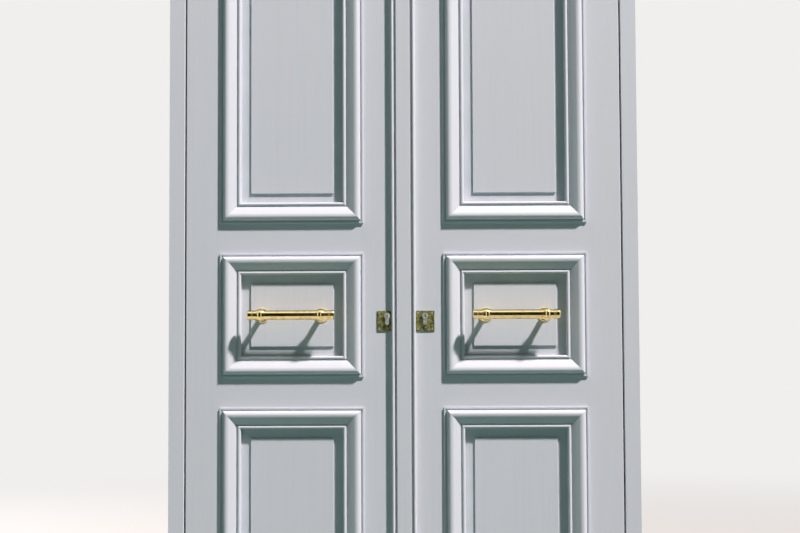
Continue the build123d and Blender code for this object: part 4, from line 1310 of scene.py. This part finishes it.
@dataclass(frozen=True)
class Lamp:
    """One square soft box, with its place, aim and size in metres."""

    name: str
    place: tuple[float, float, float]
    aim: tuple[float, float, float]
    size: float
    watts: float
    colour: str
    only_reflected: bool = False

    def build(self) -> None:
        """Puts the lamp in the scene."""
        data = bpy.data.lights.new(self.name, "AREA")
        data.shape = "SQUARE"
        data.size = self.size
        data.energy = self.watts
        data.color = linear(self.colour)[:3]
        lamp = add_object(self.name, data)
        lamp.visible_diffuse = not self.only_reflected
        lamp.location = self.place
        way = Vector(self.aim) - Vector(self.place)
        lamp.rotation_euler = way.to_track_quat("-Z", "Y").to_euler()


@dataclass
class Studio:
    """Pale floor, pale surroundings, soft lamps, and two dark cards for the brass to mirror."""

    surroundings: str = "F0EFEE"
    room_colour: str = "B9DDD6"
    floor: str = "ADADAC"
    floor_bounce: str = "526E66"
    room_light: float = 0.08
    floor_radius: float = 80.0
    floor_fade_start: float = 2.5
    floor_fade_end: float = 7.0
    card_inner: float = 0.22
    card_outer: float = 1.6
    card_distance: float = 1.6
    card_bottom: float = 0.15
    card_top: float = 2.7
    card_colour: str = "17261A"
    lamps: tuple[Lamp, ...] = (
        Lamp("key", (11.7, -8.45, 20.5), (0.0, 0.0, 1.1), 1.4, 11500.0, "FFF4F2"),
        Lamp("top", (0.0, -0.95, 3.6), (0.0, -0.95, 1.0), 1.8, 5.0, "C4D2FF", only_reflected=True),
        Lamp("fill", (-3.2, -4.2, 2.0), (0.0, 0.0, 1.2), 3.0, 8.0, "DDF3F0"),
        Lamp("back", (-5.4, 4.5, 4.85), (0.0, 0.0, 1.1), 1.05, 700.0, "FFF9F6"),
    )

    def build(self) -> None:
        """Makes the world, the floor, the cards and the lamps."""
        self._world()
        self._floor()
        self._dark_cards()
        for lamp in self.lamps:
            lamp.build()

    def _world(self) -> None:
        """Makes surroundings that are pale as seen, and dim for what lights the doors."""
        world = bpy.data.worlds.new("studio")
        bpy.context.scene.world = world
        world.use_nodes = True
        tree = world.node_tree
        tree.nodes.clear()
        seen = add_node(
            tree, "ShaderNodeBackground", {"Color": linear(self.surroundings), "Strength": 1.0}
        )
        light = add_node(
            tree,
            "ShaderNodeBackground",
            {"Color": linear(self.room_colour), "Strength": self.room_light},
        )
        ray = add_node(tree, "ShaderNodeLightPath")
        shown = ray.outputs["Is Camera Ray"]
        for kind in ("Is Glossy Ray", "Is Transmission Ray"):
            shown = add_node(
                tree, "ShaderNodeMath", {0: shown, 1: ray.outputs[kind]}, operation="MAXIMUM"
            ).outputs[0]
        mixed = add_node(tree, "ShaderNodeMixShader", {0: shown, 1: light, 2: seen})
        add_node(tree, "ShaderNodeOutputWorld", {"Surface": mixed})

    def _floor(self) -> None:
        """Lays a wide matt floor that fades into the surroundings far from the doors."""
        reach = self.floor_radius
        corners = [(-reach, -reach, 0), (reach, -reach, 0), (reach, reach, 0), (-reach, reach, 0)]
        material, tree = new_material("studio_floor")
        ray = add_node(tree, "ShaderNodeLightPath")
        shown = add_node(
            tree,
            "ShaderNodeMath",
            {0: ray.outputs["Is Camera Ray"], 1: ray.outputs["Is Glossy Ray"]},
            operation="MAXIMUM",
        )
        colour = add_node(
            tree,
            "ShaderNodeMix",
            {0: shown, 6: linear(self.floor_bounce), 7: linear(self.floor)},
            data_type="RGBA",
        )
        matt = add_node(tree, "ShaderNodeBsdfDiffuse", {"Color": colour.outputs[2]})
        far = add_node(
            tree, "ShaderNodeEmission", {"Color": linear(self.surroundings), "Strength": 1.0}
        )
        distance = add_node(
            tree, "ShaderNodeVectorMath", {0: object_place(tree)}, operation="LENGTH"
        )
        fade = add_node(
            tree,
            "ShaderNodeMapRange",
            {
                "Value": distance.outputs["Value"],
                "From Min": self.floor_fade_start,
                "From Max": self.floor_fade_end,
            },
            interpolation_type="SMOOTHSTEP",
        )
        seen = add_node(
            tree, "ShaderNodeMath", {0: fade, 1: ray.outputs["Is Camera Ray"]}, operation="MULTIPLY"
        )
        mixed = add_node(tree, "ShaderNodeMixShader", {0: seen, 1: matt, 2: far})
        add_node(tree, "ShaderNodeOutputMaterial", {"Surface": mixed})
        self._sheets("floor", corners, material)

    def _dark_cards(self) -> None:
        """Hangs two dark cards before the pulls, which only the brass's reflections show."""
        corners = [
            (side * reach, -self.card_distance, height)
            for side in (-1, 1)
            for reach, height in (
                (self.card_inner, self.card_bottom),
                (self.card_outer, self.card_bottom),
                (self.card_outer, self.card_top),
                (self.card_inner, self.card_top),
            )
        ]
        material, tree = new_material("dark_card_cloth")
        cloth = add_node(tree, "ShaderNodeBsdfDiffuse", {"Color": linear(self.card_colour)})
        add_node(tree, "ShaderNodeOutputMaterial", {"Surface": cloth})
        card = self._sheets("dark_card", corners, material)
        card.visible_camera = False
        card.visible_diffuse = False
        card.visible_shadow = False

    def _sheets(
        self, name: str, corners: list[tuple[float, float, float]], material: bpy.types.Material
    ) -> bpy.types.Object:
        """Adds flat sheets with four corners each.

        Args:
            name: The object's name.
            corners: The first sheet's four corners in order, then the next one's.
            material: The sheets' material.

        Returns:
            The object.
        """
        mesh = bpy.data.meshes.new(name)
        faces = [tuple(range(first, first + 4)) for first in range(0, len(corners), 4)]
        mesh.from_pydata(corners, [], faces)
        mesh.materials.append(material)
        return add_object(name, mesh)


@dataclass
class Viewpoint:
    """The camera, square on to the doors, 6 cm below the pulls' axis and tilted up a little."""

    place: tuple[float, float, float] = (0.0249, -3.8428, 0.9898)
    yaw: float = -0.0089
    pitch: float = 0.0499
    roll: float = -0.0042
    focal_px: float = 1400.0
    farthest: float = 200.0

    def build(self) -> None:
        """Makes the camera."""
        data = bpy.data.cameras.new("camera")
        data.sensor_width = SENSOR_WIDTH
        data.lens = self.focal_px / PICTURE_WIDTH * SENSOR_WIDTH
        data.clip_end = self.farthest
        camera = add_object("camera", data)
        ahead = Vector(
            (
                math.sin(self.yaw) * math.cos(self.pitch),
                math.cos(self.yaw) * math.cos(self.pitch),
                math.sin(self.pitch),
            )
        )
        right = Vector((math.cos(self.yaw), -math.sin(self.yaw), 0.0))
        up = right.cross(ahead)
        rolled_right = math.cos(self.roll) * right + math.sin(self.roll) * up
        rolled_up = math.cos(self.roll) * up - math.sin(self.roll) * right
        turn = Matrix((rolled_right, rolled_up, -ahead)).transposed()
        camera.matrix_world = Matrix.Translation(self.place) @ turn.to_4x4()
        bpy.context.scene.camera = camera


def main() -> None:
    """Builds the scene, piece by piece."""
    logging.basicConfig(level=logging.INFO, format="%(name)s: %(message)s")
    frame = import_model()
    bpy.context.scene.view_settings.view_transform = "Standard"
    finishes = Finishes()
    DoorFrame().build(frame, finishes)
    Leaf("left", ("astragal",), ("deadbolt",)).build(frame, finishes)
    Leaf("right", ("meeting_bead",), ("strike_plate", "upper_bolt", "lower_bolt")).build(
        frame, finishes
    )
    for seal in (ROOM_SEAL, STREET_SEAL):
        seal.build(finishes.pile)
    Studio().build()
    Viewpoint().build()


if __name__ == "__main__":
    main()
